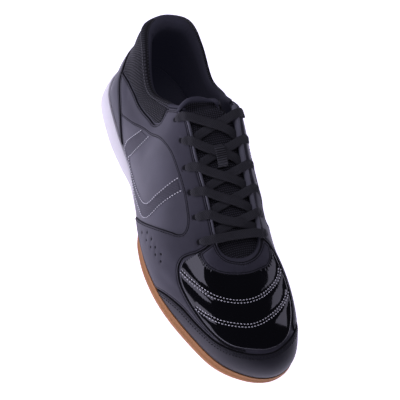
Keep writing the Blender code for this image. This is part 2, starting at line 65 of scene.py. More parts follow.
# Stations round the last, from the heel along the outer side to the toe and back along the inner side:
# facing in degrees, the sole edge, the wall's outward flare and rise from it,
# the top line, and the wall's outward reach and fall from that, in millimetres from the heel
Station = namedtuple("Station", "facing foot_x foot_y flare rise top_x top_y top_z reach fall")
STATIONS = (
    Station(180, 4, 0, 5, 32, 5, 3, 88, -8, 18),
    Station(222, 11, -20, 5, 32, 12, -13, 87, -4, 18),
    Station(252, 29, -34, 4, 30, 30, -21, 82, 1, 16),
    Station(268, 62, -38, 4, 30, 60, -25, 72, 4, 14),
    Station(272, 98, -38, 5, 34, 84, -22, 85, 6, 14),
    Station(270, 127, -42, 5, 35, 102, -18, 101, 12, 12),
    Station(270, 154, -48, 3, 32, 132, -17, 90, 15, 12),
    Station(276, 182, -51, 3, 28, 161, -15, 79, 18, 11),
    Station(290, 210, -48, 3, 26, 187, -15, 69, 19, 11),
    Station(304, 240, -38, 3, 26, 198, -14, 65, 26, 11),
    Station(316, 268, -25, 3, 26, 204, -9, 63, 37, 12),
    Station(332, 284, -8, 3, 26, 207, -1, 62, 46, 12),
    Station(360, 291, 10, 3, 26, 207.5, 5, 62, 50, 12),
    Station(385, 288, 26, 3, 26, 206.5, 11, 62, 46, 12),
    Station(405, 278, 37, 1, 26, 204, 16, 63, 37, 12),
    Station(425, 261, 43, 0, 26, 198, 20.5, 65, 25, 11),
    Station(440, 237, 45, 0, 26, 187, 22.5, 69, 14, 11),
    Station(450, 208, 44, 1, 28, 161, 20.5, 80, 13, 11),
    Station(458, 175, 40, 2, 32, 132, 20, 92, 13, 12),
    Station(458, 140, 34, 5, 35, 102, 21.5, 103, 11, 12),
    Station(452, 105, 32, 5, 34, 84, 27, 87, 5, 14),
    Station(448, 70, 33, 4, 30, 60, 29, 74, 4, 14),
    Station(462, 38, 32, 4, 30, 30, 29, 79, 1, 16),
    Station(498, 13, 20, 5, 32, 12, 20, 87, -4, 18),
)
STATION_COUNT = len(STATIONS)
TOE = STATION_COUNT / 2
# About how far a station runs along the shoe and the wall runs up, in metres, and the drawn wall's grid
STATION_RUN = 0.028
WALL_RUN = 0.095
WALL_GRID = (400, 61)

# Sole profiles along the length: distance from the heel and height or width, in millimetres
SOLE_TOP = ((0, 22), (60, 20), (90, 15), (110, 10), (130, 8), (155, 9), (190, 12), (240, 14), (294, 20))
SOLE_BOTTOM = ((0, 3), (14, 0), (85, 0), (112, 2), (145, 0), (225, 0), (260, 3), (294, 9))
GUM_TOP = ((0, 5), (14, 2.2), (84, 2.2), (112, 4.5), (130, 6.8), (145, 8.4), (155, 9), (190, 12),
           (240, 14), (294, 20))
SOLE_LEDGE = ((0, 3.5), (60, 3.5), (90, 2), (110, -1), (140, -1), (160, 1.5), (190, 2.5), (294, 3))
GUM_TUCK = ((0, 2.6), (132, 2.6), (164, 0), (294, 0))
NO_TUCK = ((0, 0), (294, 0))

# Flex grooves: places from the heel in millimetres, and their length, width and height in metres
GROOVE_PLACES = (28, 46, 64, 158, 174, 190, 206, 222)
GROOVE_SIZE = (0.0035, 0.13, 0.0032)

# Ends of the sole's bodies in stations, their rows and lanes, and the insole's inset and cup in millimetres
SOLE_TIP = 0.02
MIDSOLE_END = 5.5
OUTSOLE_GRID = (220, 14)
MIDSOLE_GRID = (90, 10)
INSOLE_GRID = (90, 25)
INSOLE_INSET = 3.4
INSOLE_CUP = 1.2

# Side profiles of the sole: inward offset in millimetres at a share of the height
GUM_SIDE = ((2.6, 0.0), (1.3, 0.1), (0.5, 0.24), (0.1, 0.4), (0.0, 0.54), (0.2, 0.62), (0.6, 0.7),
            (0.9, 0.8), (1.0, 0.9), (1.2, 1.0))
MIDSOLE_SIDE = ((-0.4, 0.0), (-1.0, 0.08), (-0.9, 0.3), (-0.4, 0.6), (0.2, 0.8), (0.8, 0.93), (1.4, 1.0))

# Panel outlines on the upper: runs of station and height, with a corner where one run meets the next
COUNTER_SEAM = ((2.02, 0.42), (2.1, 0.395), (2.65, 0.295), (2.95, 0.225))
QUARTER_SEAM = ((2.95, 0.225), (3.3, 0.36), (3.83, 0.52), (4.4, 0.59), (5.08, 0.65), (5.58, 0.71),
                (6.2, 0.75), (6.9, 0.738), (7.15, 0.718), (7.27, 0.685), (7.3, 0.64), (7.22, 0.585),
                (7.02, 0.52), (6.2, 0.265), (5.37, 0.01))
CAP_SIDE = ((7.62, 0.01), (8.01, 0.14), (8.55, 0.235), (9.12, 0.263), (9.68, 0.297), (10.28, 0.335),
            (11.01, 0.369))
PATENT_SIDE = ((11.01, 0.386), (10.4, 0.359), (9.88, 0.358), (9.23, 0.358), (8.58, 0.377), (8.07, 0.417),
               (7.84, 0.47), (7.78, 0.54), (7.86, 0.623), (8.03, 0.732), (8.19, 0.867), (8.22, 0.98))
THROAT_SIDE = ((8.22, 0.98), (7, 0.98), (6, 0.98), (5, 0.98), (4.55, 0.975), (4.12, 0.965))
MESH_SIDE = ((4.12, 0.965), (4.27, 0.84), (4.3, 0.745), (4.12, 0.69), (3.73, 0.69), (3.3, 0.69),
             (2.93, 0.68), (2.5, 0.57), (2.02, 0.42))
OUTER_QUARTER = (COUNTER_SEAM, QUARTER_SEAM, ((5.37, 0.01), (6.5, 0.01), (7.62, 0.01)), CAP_SIDE,
                 ((11.01, 0.369), (11.01, 0.386)), PATENT_SIDE, THROAT_SIDE, MESH_SIDE)
INNER_CAP_SIDE = ((7.62, 0.01), (8.2, 0.132), (9, 0.252), (9.8, 0.352), (10.6, 0.412))
INNER_PATENT_SIDE = ((10.6, 0.478), (9.85, 0.585), (9.42, 0.7), (9.03, 0.79), (8.85, 0.86), (8.78, 0.98))
INNER_QUARTER = (COUNTER_SEAM, QUARTER_SEAM, ((5.37, 0.01), (6.5, 0.01), (7.62, 0.01)), INNER_CAP_SIDE,
                 ((10.6, 0.412), (10.6, 0.478)), INNER_PATENT_SIDE,
                 ((8.78, 0.98), (8, 0.98), (7, 0.98), (6, 0.98), (5, 0.98), (4.55, 0.975), (4.12, 0.965)),
                 MESH_SIDE)
CAP_SEAM = ((7.68, 0.01), (8, 0.124), (8.55, 0.221), (9.11, 0.249), (9.67, 0.283), (10.28, 0.322),
            (11.25, 0.368), (12.01, 0.392), (12.79, 0.412), (13.42, 0.395), (14.27, 0.323), (15, 0.228),
            (15.75, 0.115), (16.32, 0.01))
TOE_CAP = (CAP_SEAM, ((16.32, 0.01), (15, 0.01), (14, 0.01), (13, 0.01), (12, 0.01), (11, 0.01), (10, 0.01),
                      (9, 0.01), (7.68, 0.01)))
PATENT_LOW = ((8.07, 0.754), (7.93, 0.635), (7.85, 0.551), (7.9, 0.481), (8.1, 0.432), (8.58, 0.392),
              (9.24, 0.373), (9.89, 0.372), (10.41, 0.373), (11.28, 0.413), (12.02, 0.427),
              (12.85, 0.453), (13.32, 0.501), (14.12, 0.603), (14.53, 0.708), (14.92, 0.799),
              (15.08, 0.853))
PATENT_TOP = ((15.08, 0.853), (13.79, 0.894), (12.68, 0.931), (11.29, 0.934), (10.09, 0.894),
              (8.7, 0.796), (8.07, 0.754))
GUARD_ARC = ((8.1, 0.755), (8.69, 0.783), (9.46, 0.842), (10.06, 0.875), (10.67, 0.895), (11.27, 0.908),
             (12.0, 0.912), (12.67, 0.907), (13.79, 0.875), (14.62, 0.864), (15.11, 0.877))
GUARD = (GUARD_ARC, ((15.11, 0.877), (15.18, 0.98)),
         ((15.18, 0.98), (14, 0.98), (13, 0.98), (12, 0.98), (11, 0.98), (10, 0.98), (9, 0.98),
          (8.26, 0.98)),
         ((8.26, 0.98), (8.2, 0.86), (8.1, 0.755)))
COUNTER = (((-3.4, 0.01), (-2.95, 0.185), (-2.65, 0.275), (-2.1, 0.375), (-1.85, 0.435), (-1.5, 0.465),
            (-0.8, 0.485), (0, 0.5), (0.8, 0.485), (1.5, 0.465), (1.85, 0.435), (2.1, 0.375), (2.65, 0.275),
            (2.95, 0.185), (3.4, 0.01)),
           ((3.4, 0.01), (2, 0.01), (1, 0.01), (0, 0.01), (-1, 0.01), (-2, 0.01), (-3.4, 0.01)))
COLLAR_MESH = (((0.5, 0.515), (1.0, 0.5), (1.5, 0.485), (1.85, 0.455), (2.05, 0.44)),
               ((2.05, 0.44), (2.5, 0.59), (2.93, 0.7), (3.3, 0.71), (3.73, 0.71), (4.08, 0.71),
                (4.24, 0.75), (4.2, 0.84), (4.06, 0.985)),
               ((4.06, 0.985), (3, 0.985), (2, 0.985), (0.5, 0.985)), ((0.5, 0.985), (0.5, 0.515)))
BAND_OUTER = ((3.74, 0.475), (3.6, 0.3), (3.5, 0.1), (3.54, 0.02), (3.75, 0.015), (4.6, 0.05),
              (5.3, 0.115), (5.72, 0.17), (5.9, 0.23), (6.15, 0.46), (6.42, 0.725))
BAND_INNER = ((6.1, 0.722), (5.85, 0.46), (5.6, 0.27), (5.4, 0.215), (4.92, 0.145), (4.3, 0.08),
              (3.92, 0.045), (3.8, 0.06), (3.84, 0.16), (3.95, 0.32), (4.13, 0.53))
SIDE_BAND = (BAND_OUTER, ((6.42, 0.725), (6.1, 0.722)), BAND_INNER, ((4.13, 0.53), (3.74, 0.475)))
PINHOLES = ((6.1, 0.122), (6.31, 0.215), (6.44, 0.173), (6.6, 0.258), (6.73, 0.215), (6.88, 0.28),
            (7.02, 0.248), (7.17, 0.32), (7.3, 0.285))

# Lines of stitching: stations and heights
PATENT_ROW_HIGH = ((8.0, 0.482), (8.67, 0.565), (9.85, 0.69), (11.09, 0.752), (12.07, 0.779),
                   (13.03, 0.784), (14.43, 0.747))
PATENT_ROW_LOW = ((9.05, 0.412), (9.78, 0.503), (10.75, 0.578), (11.44, 0.609), (12.3, 0.647),
                  (13.14, 0.653), (14.02, 0.628))
HEEL_ROW = ((0.42, 0.53), (0.42, 0.75), (0.42, 0.96))

# Stitch rows' distances from an edge or a line, and their lifts, in metres
SEAM_INSET = 0.0018
CAP_ROW_INSETS = (0.0019, 0.0042)
PATENT_ROW_GAP = 0.0011
STITCH_SINK = 0.0002
BAND_STITCH_LIFT = 0.00045
WALL_STITCH_LIFT = 0.0001

# Depths of the padding and the hollows in the upper, in millimetres
COLLAR_PAD = 2.0
HEEL_CORNER = 2.4
HEEL_WAIST = 1.8
INNER_SHELF = 2.8

# Soft troughs and ridges in the upper: centre station and height, half length in stations,
# half width in height, turn in degrees and depth in millimetres
Crease = namedtuple("Crease", "place height length width turn depth")
CREASES = (
    Crease(7.75, 0.24, 0.5, 0.035, 30, -0.35),
    Crease(7.45, 0.36, 0.45, 0.04, 36, -0.3),
    Crease(7.95, 0.34, 0.4, 0.04, 24, 0.22),
    Crease(16.3, 0.26, 0.5, 0.035, -30, -0.4),
    Crease(16.6, 0.38, 0.45, 0.04, -36, -0.35),
    Crease(4.35, 0.42, 0.35, 0.05, 60, -0.35),
    Crease(19.65, 0.42, 0.35, 0.05, -60, -0.35),
    Crease(2.6, 0.5, 0.4, 0.05, -50, -0.3),
    Crease(13.9, 0.32, 1.3, 0.3, 0, -1.5),
    Crease(17.35, 0.84, 0.3, 0.045, 50, -0.6),
    Crease(17.05, 0.78, 0.3, 0.05, 40, 0.5),
    Crease(16.75, 0.72, 0.3, 0.045, 45, -0.6),
)

# The collar lining's section: run along the wall from the top line and lift off the wall, in millimetres
CUFF_SECTION = ((-34, -2.3), (-27, -4.6), (-19, -7.4), (-12, -9.4), (-6, -10), (-2, -9.3), (0.8, -7.6),
                (2.4, -5.2), (3.1, -2.6), (2.9, -0.2), (2, 1.3), (1, 1.8), (0, 1.9), (-0.9, 1.5),
                (-1.3, 0.6), (-1.1, -0.5), (-1, -1.2), (-5, -1.4), (-12, -1.5), (-24, -1.55),
                (-33.5, -1.6))
# Where the mesh runs over the roll: past this run and lift, between these stations
CUFF_MESH = (-2, -3.4)
CUFF_MESH_ENDS = (0.55, 4.0)
# The lining's end in stations, its rings and their points
CUFF_END = 4.75
CUFF_RINGS = 240
CUFF_POINTS = 72
# The lining's rise at its ends and fall at the heel, in millimetres
CUFF_RISE = 2.2
CUFF_FALL = 0.3
# The share of the wall below the top line that gives a rolled section its slope
ROLL_ROOT = 0.05
# The bound edge of the throat: run and lift in millimetres, and its ends in stations
BINDING_SECTION = ((-1.4, -0.6), (-1.5, 0.6), (-1.3, 1.3), (-0.7, 1.6), (-0.1, 1.5), (0.4, 1.0),
                   (0.6, 0.2), (0.6, -0.9), (0.3, -1.7), (-0.4, -2.2), (-1.2, -2.2), (-1.4, -1.6))
BINDING_ENDS = (4.75, 8.7)
BINDING_RINGS = 130
# A woven strip's section: shares of the half width and of the thickness
STRIP_SECTION = ((-1, 0), (-0.97, 0.3), (-0.86, 0.46), (-0.45, 0.5), (0, 0.46), (0.45, 0.5), (0.86, 0.46),
                 (0.97, 0.3), (1, 0), (0.97, -0.3), (0.86, -0.46), (0, -0.5), (-0.86, -0.46), (-0.97, -0.3))

# The tongue's tip: its outer, middle and inner points, in millimetres from the heel
TONGUE_TIP = ((94, -18.5, 109), (93.5, -2, 107.5), (101, 7.5, 103.5))
# Tongue and laces, as stations, shares, counts and metres
TONGUE_FRONT = 11.6
TONGUE_BACK = 4.8
TONGUE_UNDER = 0.76
TONGUE_FREE = 5.7
TONGUE_FREE_SHARE = 0.34
TONGUE_ROUND = 0.003
TIP_STEP = 0.0009
LANE_STEP = 0.0016
FRONT_STEP = 0.0012
TONGUE_ROWS = 90
TONGUE_LANES = 35
TONGUE_UNDER_LANES = 9
TONGUE_TIP_ROWS = 14
TONGUE_BOUND_ROWS = 5
TONGUE_DROP = 0.00256
BRIDGE_PULL = 0.3
BRIDGE_ROOT = 0.96
EYELET_ENDS = (4.88, 7.82)
INNER_EYELET_ENDS = (5.1, 8.12)
EYELET_ROWS = 6
LACE_START = -1.5
LACE_STOP = 0.84
LACE_AHEAD = (0.0, 0.15)
BAR_AHEAD = 0.36
LACE_LIFT = 0.0001
LACE_ROWS = 150
BAR_ROWS = 140
KEEPER_AHEAD = 0.15
KEEPER_HALF = 0.0088
KEEPER_WIDTH = 0.0082
KEEPER_THICK = 0.0011
KEEPER_RIB = 0.00045
KEEPER_ROWS = 160
KEEPER_ARCH = ((-1, 0.0003), (-0.93, 0.0018), (-0.76, 0.0036), (-0.4, 0.0041), (0, 0.0042), (0.4, 0.0041),
               (0.76, 0.0036), (0.93, 0.0018), (1, 0.0003))

# Studio lights: azimuth and elevation in degrees, distance, width and height in metres, and power in watts
Softbox = namedtuple("Softbox", "name azimuth elevation distance width height power")
SOFTBOXES = (
    Softbox("outer_softbox", -110, 38, 1.5, 1.5, 0.7, 5.6),
    Softbox("inner_softbox", 82, 38, 1.5, 0.7, 0.5, 1.1),
    Softbox("high_softbox", -140, 62, 1.8, 1.0, 1.0, 5.5),
)
LIGHT_COLOUR = (0.96, 0.92, 1.2)
LIGHT_TARGET = (0.03, 0, 0.04)
FLOOR_HALF = 30
FLOOR_DROP = 0.0002

# The photograph's camera in the heel's frame: angles in degrees, millimetres and pixels of its frame
CAMERA_AZIMUTH = -52.18
CAMERA_ELEVATION = 57.02
CAMERA_ROLL = 35.79
CAMERA_DISTANCE = 732.24
CAMERA_TARGET = (150, 0, 40)
CAMERA_FOCAL = 928.6
CAMERA_CENTRE = (203.4, 204.1)
FRAME_PIXELS = 400


class ShoeSizes(bpy.types.PropertyGroup):
    """Sizes of the layers and trimmings."""

    wall: FloatProperty(name="Wall", description="Thickness of the upper's wall", default=0.002,
                        unit="LENGTH")
    overlay: FloatProperty(name="Overlay", description="Thickness of the sewn panels", default=0.0013,
                           unit="LENGTH")
    lace_width: FloatProperty(name="Lace width", description="Width of the flat lace", default=0.0068,
                              unit="LENGTH")
    lace_thick: FloatProperty(name="Lace thickness", description="Thickness of the flat lace",
                              default=0.0013, unit="LENGTH")
    eyelet_radius: FloatProperty(name="Eyelet radius", description="Radius of the punched eyelets",
                                 default=0.0018, unit="LENGTH")
    eyelet_inset: FloatProperty(name="Eyelet inset",
                                description="First outer eyelet's distance from the throat's edge",
                                default=0.0085, unit="LENGTH")
    eyelet_inset_low: FloatProperty(name="Low eyelet inset", default=0.0145, unit="LENGTH",
                                    description="Last outer eyelet's distance from the throat's edge")
    inner_inset: FloatProperty(name="Inner eyelet inset", default=0.0115, unit="LENGTH",
                               description="First inner eyelet's distance from the throat's edge")
    inner_inset_low: FloatProperty(name="Low inner eyelet inset", default=0.0085, unit="LENGTH",
                                   description="Last inner eyelet's distance from the throat's edge")
    pinhole_radius: FloatProperty(name="Pinhole radius", description="Radius of the air holes",
                                  default=0.0009, unit="LENGTH")
    stitch_pitch: FloatProperty(name="Stitch pitch", description="Distance from stitch to stitch",
                                default=0.0025, unit="LENGTH")
    stitch_length: FloatProperty(name="Stitch length", description="Length of a stitch", default=0.0017,
                                 unit="LENGTH")
    stitch_thick: FloatProperty(name="Thread", description="Thickness of the thread", default=0.0008,
                                unit="LENGTH")
    tongue_thick: FloatProperty(name="Tongue", description="Thickness of the padded tongue",
                                default=0.0035, unit="LENGTH")
    insole_thick: FloatProperty(name="Insole", description="Thickness of the insole", default=0.0035,
                                unit="LENGTH")
    rib_count: IntProperty(name="Keeper ribs", description="Ribs across the lace keeper", default=11,
                           min=3)


class ShoeColours(bpy.types.PropertyGroup):
    """Colours of the finishes."""

    leather: FloatVectorProperty(name="Leather", description="Smooth panels", subtype="COLOR", size=3,
                                 default=(0.055, 0.053, 0.067))
    # A paler copy of the leather: painted light on the side under the panels.
    lit_quarter: FloatVectorProperty(name="Quarter", description="Paler side under the panels",
                                 subtype="COLOR", size=3, default=(0.068, 0.066, 0.082))
    cap: FloatVectorProperty(name="Toe cap", description="Toe cap and throat guard", subtype="COLOR",
                             size=3, default=(0.025, 0.0242, 0.031))
    patent: FloatVectorProperty(name="Patent", description="Glossy vamp", subtype="COLOR", size=3,
                                default=(0.0025, 0.0025, 0.0035))
    mesh: FloatVectorProperty(name="Mesh", description="Collar and tongue mesh", subtype="COLOR", size=3,
                              default=(0.016, 0.016, 0.0195))
    lining: FloatVectorProperty(name="Lining", description="Collar lining and insole", subtype="COLOR",
                                size=3, default=(0.040, 0.039, 0.051))
    lace: FloatVectorProperty(name="Lace", description="Laces and keeper", subtype="COLOR", size=3,
                              default=(0.026, 0.026, 0.028))
    binding: FloatVectorProperty(name="Binding", description="Bound edge of the throat", subtype="COLOR",
                                 size=3, default=(0.14, 0.14, 0.16))
    gum: FloatVectorProperty(name="Gum", description="Outsole", subtype="COLOR", size=3,
                             default=(0.42, 0.185, 0.062))
    foam: FloatVectorProperty(name="Foam", description="Midsole", subtype="COLOR", size=3,
                              default=(0.82, 0.80, 0.78))
    thread: FloatVectorProperty(name="Thread", description="Pale stitching", subtype="COLOR", size=3,
                                default=(0.9, 0.9, 0.9))
    floor: FloatVectorProperty(name="Floor", description="Studio floor", subtype="COLOR", size=3,
                               default=(0.9, 0.9, 0.9))


# Lines and vectors

def unit(vectors):
    """Vectors of length one in the same directions."""
    return vectors / np.linalg.norm(vectors, axis=-1, keepdims=True)


def lengths(line):
    """The length of a line up to each of its points."""
    return np.concatenate([[0], np.cumsum(np.linalg.norm(np.diff(line, axis=0), axis=1))])


def from_ends(count):
    """How many steps each of a row's points is from the row's nearer end."""
    steps = np.arange(count)
    return np.minimum(steps, steps[::-1])


def smooth(low, high, value):
    """A soft step from 0 at low to 1 at high."""
    f = np.clip((np.asarray(value, float) - low) / (high - low), 0, 1)
    return f * f * (3 - 2 * f)


def curved(points, span, steps):
    """A smooth curve through points, in so many steps for each span between them."""
    slope = np.diff(points, axis=0) / span[:, None]
    tangent = np.empty_like(points)
    tangent[0], tangent[-1] = slope[0], slope[-1]
    weight = (span[:-1] / (span[:-1] + span[1:]))[:, None]
    tangent[1:-1] = slope[:-1] * (1 - weight) + slope[1:] * weight
    f = np.linspace(0, 1, steps, endpoint=False)[:, None]
    parts = []
    for i, h in enumerate(span):
        parts.append(points[i] * (1 + 2 * f) * (1 - f) ** 2 + points[i + 1] * f * f * (3 - 2 * f)
                     + h * f * (1 - f) * (tangent[i] * (1 - f) - tangent[i + 1] * f))
    return np.concatenate([*parts, points[-1:]])


def smooth_path(points, count):
    """An even smooth path in space through points, with the points' own further columns."""
    points = np.asarray(points, float)
    line = curved(points, np.linalg.norm(np.diff(points[:, :3], axis=0), axis=1), 16)
    run = lengths(line[:, :3])
    stops = np.linspace(0, run[-1], count)
    return np.column_stack([np.interp(stops, run, column) for column in line.T])


# The upper's surface

def profile(table, place):
    """Reads a table of place and value with a smooth curve that never overshoots its rows."""
    rows = np.array(table, float)
    x, y = rows[:, 0], rows[:, 1]
    width = np.diff(x)
    slope = np.diff(y) / width
    tangent = np.zeros(len(x))
    tangent[0], tangent[-1] = slope[0], slope[-1]
    same_way = slope[:-1] * slope[1:] > 0
    steep = np.where(same_way, slope[:-1] + slope[1:], 1.0)
    tangent[1:-1] = np.where(same_way, 2 * slope[:-1] * slope[1:] / steep, 0.0)
    place = np.clip(np.asarray(place, float), x[0], x[-1])
    i = np.clip(np.searchsorted(x, place) - 1, 0, len(x) - 2)
    w = width[i]
    f = (place - x[i]) / w
    rise = y[i] * (1 + 2 * f) * (1 - f) ** 2 + y[i + 1] * f * f * (3 - 2 * f)
    return rise + w * f * (1 - f) * (tangent[i] * (1 - f) - tangent[i + 1] * f)


def station(place):
    """Blends the stations round the ring at a place counted in stations."""
    rows = np.array(STATIONS, float)
    turn = np.zeros(rows.shape[1])
    turn[0] = 360
    place = np.asarray(place, float)
    i = np.floor(place).astype(int)
    f = (place - i)[..., None]

    def row(k):
        return rows[k % STATION_COUNT] + turn * (k // STATION_COUNT)[..., None]

    a, b, c, d = row(i - 1), row(i), row(i + 1), row(i + 2)
    return 0.5 * (2 * b + (c - a) * f + (2 * a - 5 * b + 4 * c - d) * f ** 2
                  + (3 * b - a - 3 * c + d) * f ** 3)


def sole_edge(place):
    """The sole's outline and its outward direction in plan, in millimetres from the heel."""
    row = Station(*np.moveaxis(station(place), -1, 0))
    facing = np.radians(row.facing)
    out = np.stack([np.cos(facing), np.sin(facing)], -1)
    ledge = profile(SOLE_LEDGE, row.foot_x)[..., None]
    return np.stack([row.foot_x, row.foot_y], -1) + out * ledge, out


def frame_shift():
    """The move in metres that centres the sole's outline on the origin."""
    edge = sole_edge(np.linspace(0, STATION_COUNT, 40 * STATION_COUNT))[0]
    middle = (edge.min(0) + edge.max(0)) / 2
    return np.array([-middle[0], -middle[1], 0.0]) * MM


SHIFT = frame_shift()


def wall(place, height):
    """The upper's outer surface: a Bezier wall at each station."""
    place, height = np.broadcast_arrays(np.asarray(place, float), np.asarray(height, float))
    row = Station(*np.moveaxis(station(place), -1, 0))
    facing = np.radians(row.facing)
    out_x, out_y = np.cos(facing), np.sin(facing)
    foot_z = profile(SOLE_TOP, row.foot_x) + 0.35
    foot = np.stack([row.foot_x, row.foot_y, foot_z], -1)
    side = foot + np.stack([out_x * row.flare, out_y * row.flare, row.rise], -1)
    top = np.stack([row.top_x, row.top_y, row.top_z], -1)
    shoulder = top + np.stack([out_x * row.reach, out_y * row.reach, -row.fall], -1)
    s = height[..., None]
    curve = (foot * (1 - s) ** 3 + 3 * side * s * (1 - s) ** 2 + 3 * shoulder * s * s * (1 - s)
             + top * s ** 3)
    return curve * MM + SHIFT


def outward(place, height):
    """Unit normals of the upper's surface, pointing out of the shoe."""
    step = 0.01
    along = wall(np.asarray(place) + step, height) - wall(np.asarray(place) - step, height)
    high = np.minimum(np.asarray(height) + step, 1.0)
    low = np.maximum(np.asarray(height) - step, 0.0)
    return unit(np.cross(along, wall(place, high) - wall(place, low)))


def relief(place, height):
    """How far padding and creases move the upper's surface, in metres."""
    place = np.asarray(place, float) % STATION_COUNT
    round_heel = np.minimum(place, STATION_COUNT - place)
    pad = smooth(0.3, 1.2, round_heel) * (1 - smooth(3.5, 4.25, round_heel))
    pad = pad * smooth(0.5, 0.8, height) * (1 - 0.55 * smooth(0.86, 1.0, height)) * COLLAR_PAD
    corner = np.exp(-((round_heel - 1.15) / 0.6) ** 2) * smooth(0.45, 0.9, height) * HEEL_CORNER
    waist = np.exp(-((round_heel - 1.45) / 0.45) ** 2) * smooth(0, 0.06, height)
    waist = waist * (1 - smooth(0.25, 0.5, height)) * HEEL_WAIST
    shelf = smooth(16.3, 17.3, place) * (1 - smooth(19.0, 19.6, place))
    shelf = shelf * smooth(0.4, 0.75, height) * (1 - 0.7 * smooth(0.9, 1.0, height)) * INNER_SHELF
    total = pad + corner - waist + shelf
    for crease in CREASES:
        turn = np.radians(crease.turn)
        across = (place - crease.place) * STATION_RUN
        up = (height - crease.height) * WALL_RUN
        along = (across * np.cos(turn) + up * np.sin(turn)) / (crease.length * STATION_RUN)
        aside = (up * np.cos(turn) - across * np.sin(turn)) / (crease.width * WALL_RUN)
        total = total + crease.depth * np.exp(-along ** 2 - aside ** 2)
    return total * MM


def skin(place, height, lift):
    """A point on the upper's dressed surface, raised along its normal."""
    lift = np.asarray(lift, float) + relief(place, height)
    return wall(place, height) + outward(place, height) * lift[..., None]


def on_side(line, inner):
    """A line of stations and heights of the outer side, on that side or mirrored on the inner one."""
    return tuple((STATION_COUNT - t, s) for t, s in line) if inner else line


def in_space(line):
    """Where a line of stations and heights lies on the surface."""
    return wall(line[:, 0], line[:, 1])


def smooth_line(points, spacing):
    """A smooth line through points of station and height, in steps of a length on the surface."""
    points = np.array(points, float)
    line = curved(points, np.linalg.norm(np.diff(points, axis=0) * (STATION_RUN, WALL_RUN), axis=1), 24)
    run = lengths(in_space(line))
    stops = np.linspace(0, run[-1], max(int(run[-1] / spacing), 1) + 1)
    return np.column_stack([np.interp(stops, run, line[:, 0]), np.interp(stops, run, line[:, 1])])


def slopes(place, height):
    """How the surface runs along a station and up a height."""
    step = 0.005
    along = (wall(place + step, height) - wall(place - step, height)) / (2 * step)
    high, low = np.minimum(height + step, 1), np.maximum(height - step, 0)
    up = (wall(place, high) - wall(place, low)) / (high - low)[..., None]
    return along, up


def moved(line, directions):
    """Points of station and height, moved by small steps in space along the surface."""
    along, up = slopes(line[:, 0], line[:, 1])
    a, b, c = (along * along).sum(1), (along * up).sum(1), (up * up).sum(1)
    p, q = (along * directions).sum(1), (up * directions).sum(1)
    scale = a * c - b * b
    step = np.column_stack([(p * c - q * b) / scale, (q * a - p * b) / scale])
    return line + step


def aside(line, distance, closed=False):
    """A line beside a line on the surface, to its left by a distance."""
    at = in_space(line)
    if closed:
        run = np.roll(at, -1, axis=0) - np.roll(at, 1, axis=0)
    else:
        run = np.gradient(at, axis=0)
    left = np.cross(outward(line[:, 0], line[:, 1]), unit(run))
    return moved(line, left * distance)


def nearest(points, line):
    """The distance from each point to the nearest point of a line."""
    best = np.full(len(points), np.inf)
    for part in np.array_split(line, max(len(line) // 200, 1)):
        gap = np.linalg.norm(points[:, None] - part[None], axis=2)
        best = np.minimum(best, gap.min(1))
    return best


def inside(points, loop):
    """Which points of station and height lie inside a closed loop."""
    x, y = points[:, 0], points[:, 1]
    result = np.zeros(len(points), bool)
    for (x0, y0), (x1, y1) in zip(loop, np.roll(loop, -1, axis=0)):
        crosses = (y0 > y) != (y1 > y)
        if crosses.any():
            at = x0 + (y - y0) * (x1 - x0) / (y1 - y0 if y1 != y0 else 1.0)
            result ^= crosses & (x < at)
    return result


# Objects and finishes

def add_object(name, points, faces, materials, slots=None, uv=None):
    """Makes one smooth-shaded object at the origin."""
    mesh = bpy.data.meshes.new(name)
    mesh.from_pydata(np.asarray(points).tolist(), [], faces)
    for material in materials:
        mesh.materials.append(material)
    if slots is not None:
        mesh.polygons.foreach_set("material_index", np.asarray(slots, np.int32))
    if uv is not None:
        corner = np.zeros(len(mesh.loops), np.int32)
        mesh.loops.foreach_get("vertex_index", corner)
        layer = mesh.uv_layers.new(name="pattern")
        layer.data.foreach_set("uv", np.asarray(uv, np.float32)[corner].ravel())
    mesh.update()
    item = bpy.data.objects.new(name, mesh)
    bpy.context.scene.collection.objects.link(item)
    mesh.shade_smooth()
    mesh.set_sharp_from_angle(angle=SHARP_ANGLE)
    return item


def point_values(item, name, values):
    """Stores one number for each point of a piece."""
    layer = item.data.attributes.new(name, "FLOAT", "POINT")
    layer.data.foreach_set("value", np.asarray(values, np.float32))


def baked(item):
    """Turns an object with modifiers into a plain mesh."""
    graph = bpy.context.evaluated_depsgraph_get()
    mesh = bpy.data.meshes.new_from_object(item.evaluated_get(graph))
    old = item.data
    item.modifiers.clear()
    item.data = mesh
    bpy.data.meshes.remove(old)
    mesh.name = item.name
    return item


def grid_faces(rows, lanes, ring_rows=False, ring_lanes=False, start=0, flip=False):
    """Quads of a grid of points, row by row."""
    faces = []
    for i in range(rows if ring_rows else rows - 1):
        for j in range(lanes if ring_lanes else lanes - 1):
            k, m = (i + 1) % rows, (j + 1) % lanes
            quad = (i * lanes + j, k * lanes + j, k * lanes + m, i * lanes + m)
            quad = tuple(start + v for v in quad)
            faces.append(quad[::-1] if flip else quad)
    return faces


def dress(item, slot, *nodes):
    """Fixes a piece to the shoe and hides the solids it stands for; the material slot is not used."""
    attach(item, "root")
    if nodes:
        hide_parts(*nodes)
    return item


def faced(item):
    """Turns a closed piece's faces outward."""
    shape = bmesh.new()
    shape.from_mesh(item.data)
    bmesh.ops.recalc_face_normals(shape, faces=shape.faces)
    shape.to_mesh(item.data)
    shape.free()
    return item


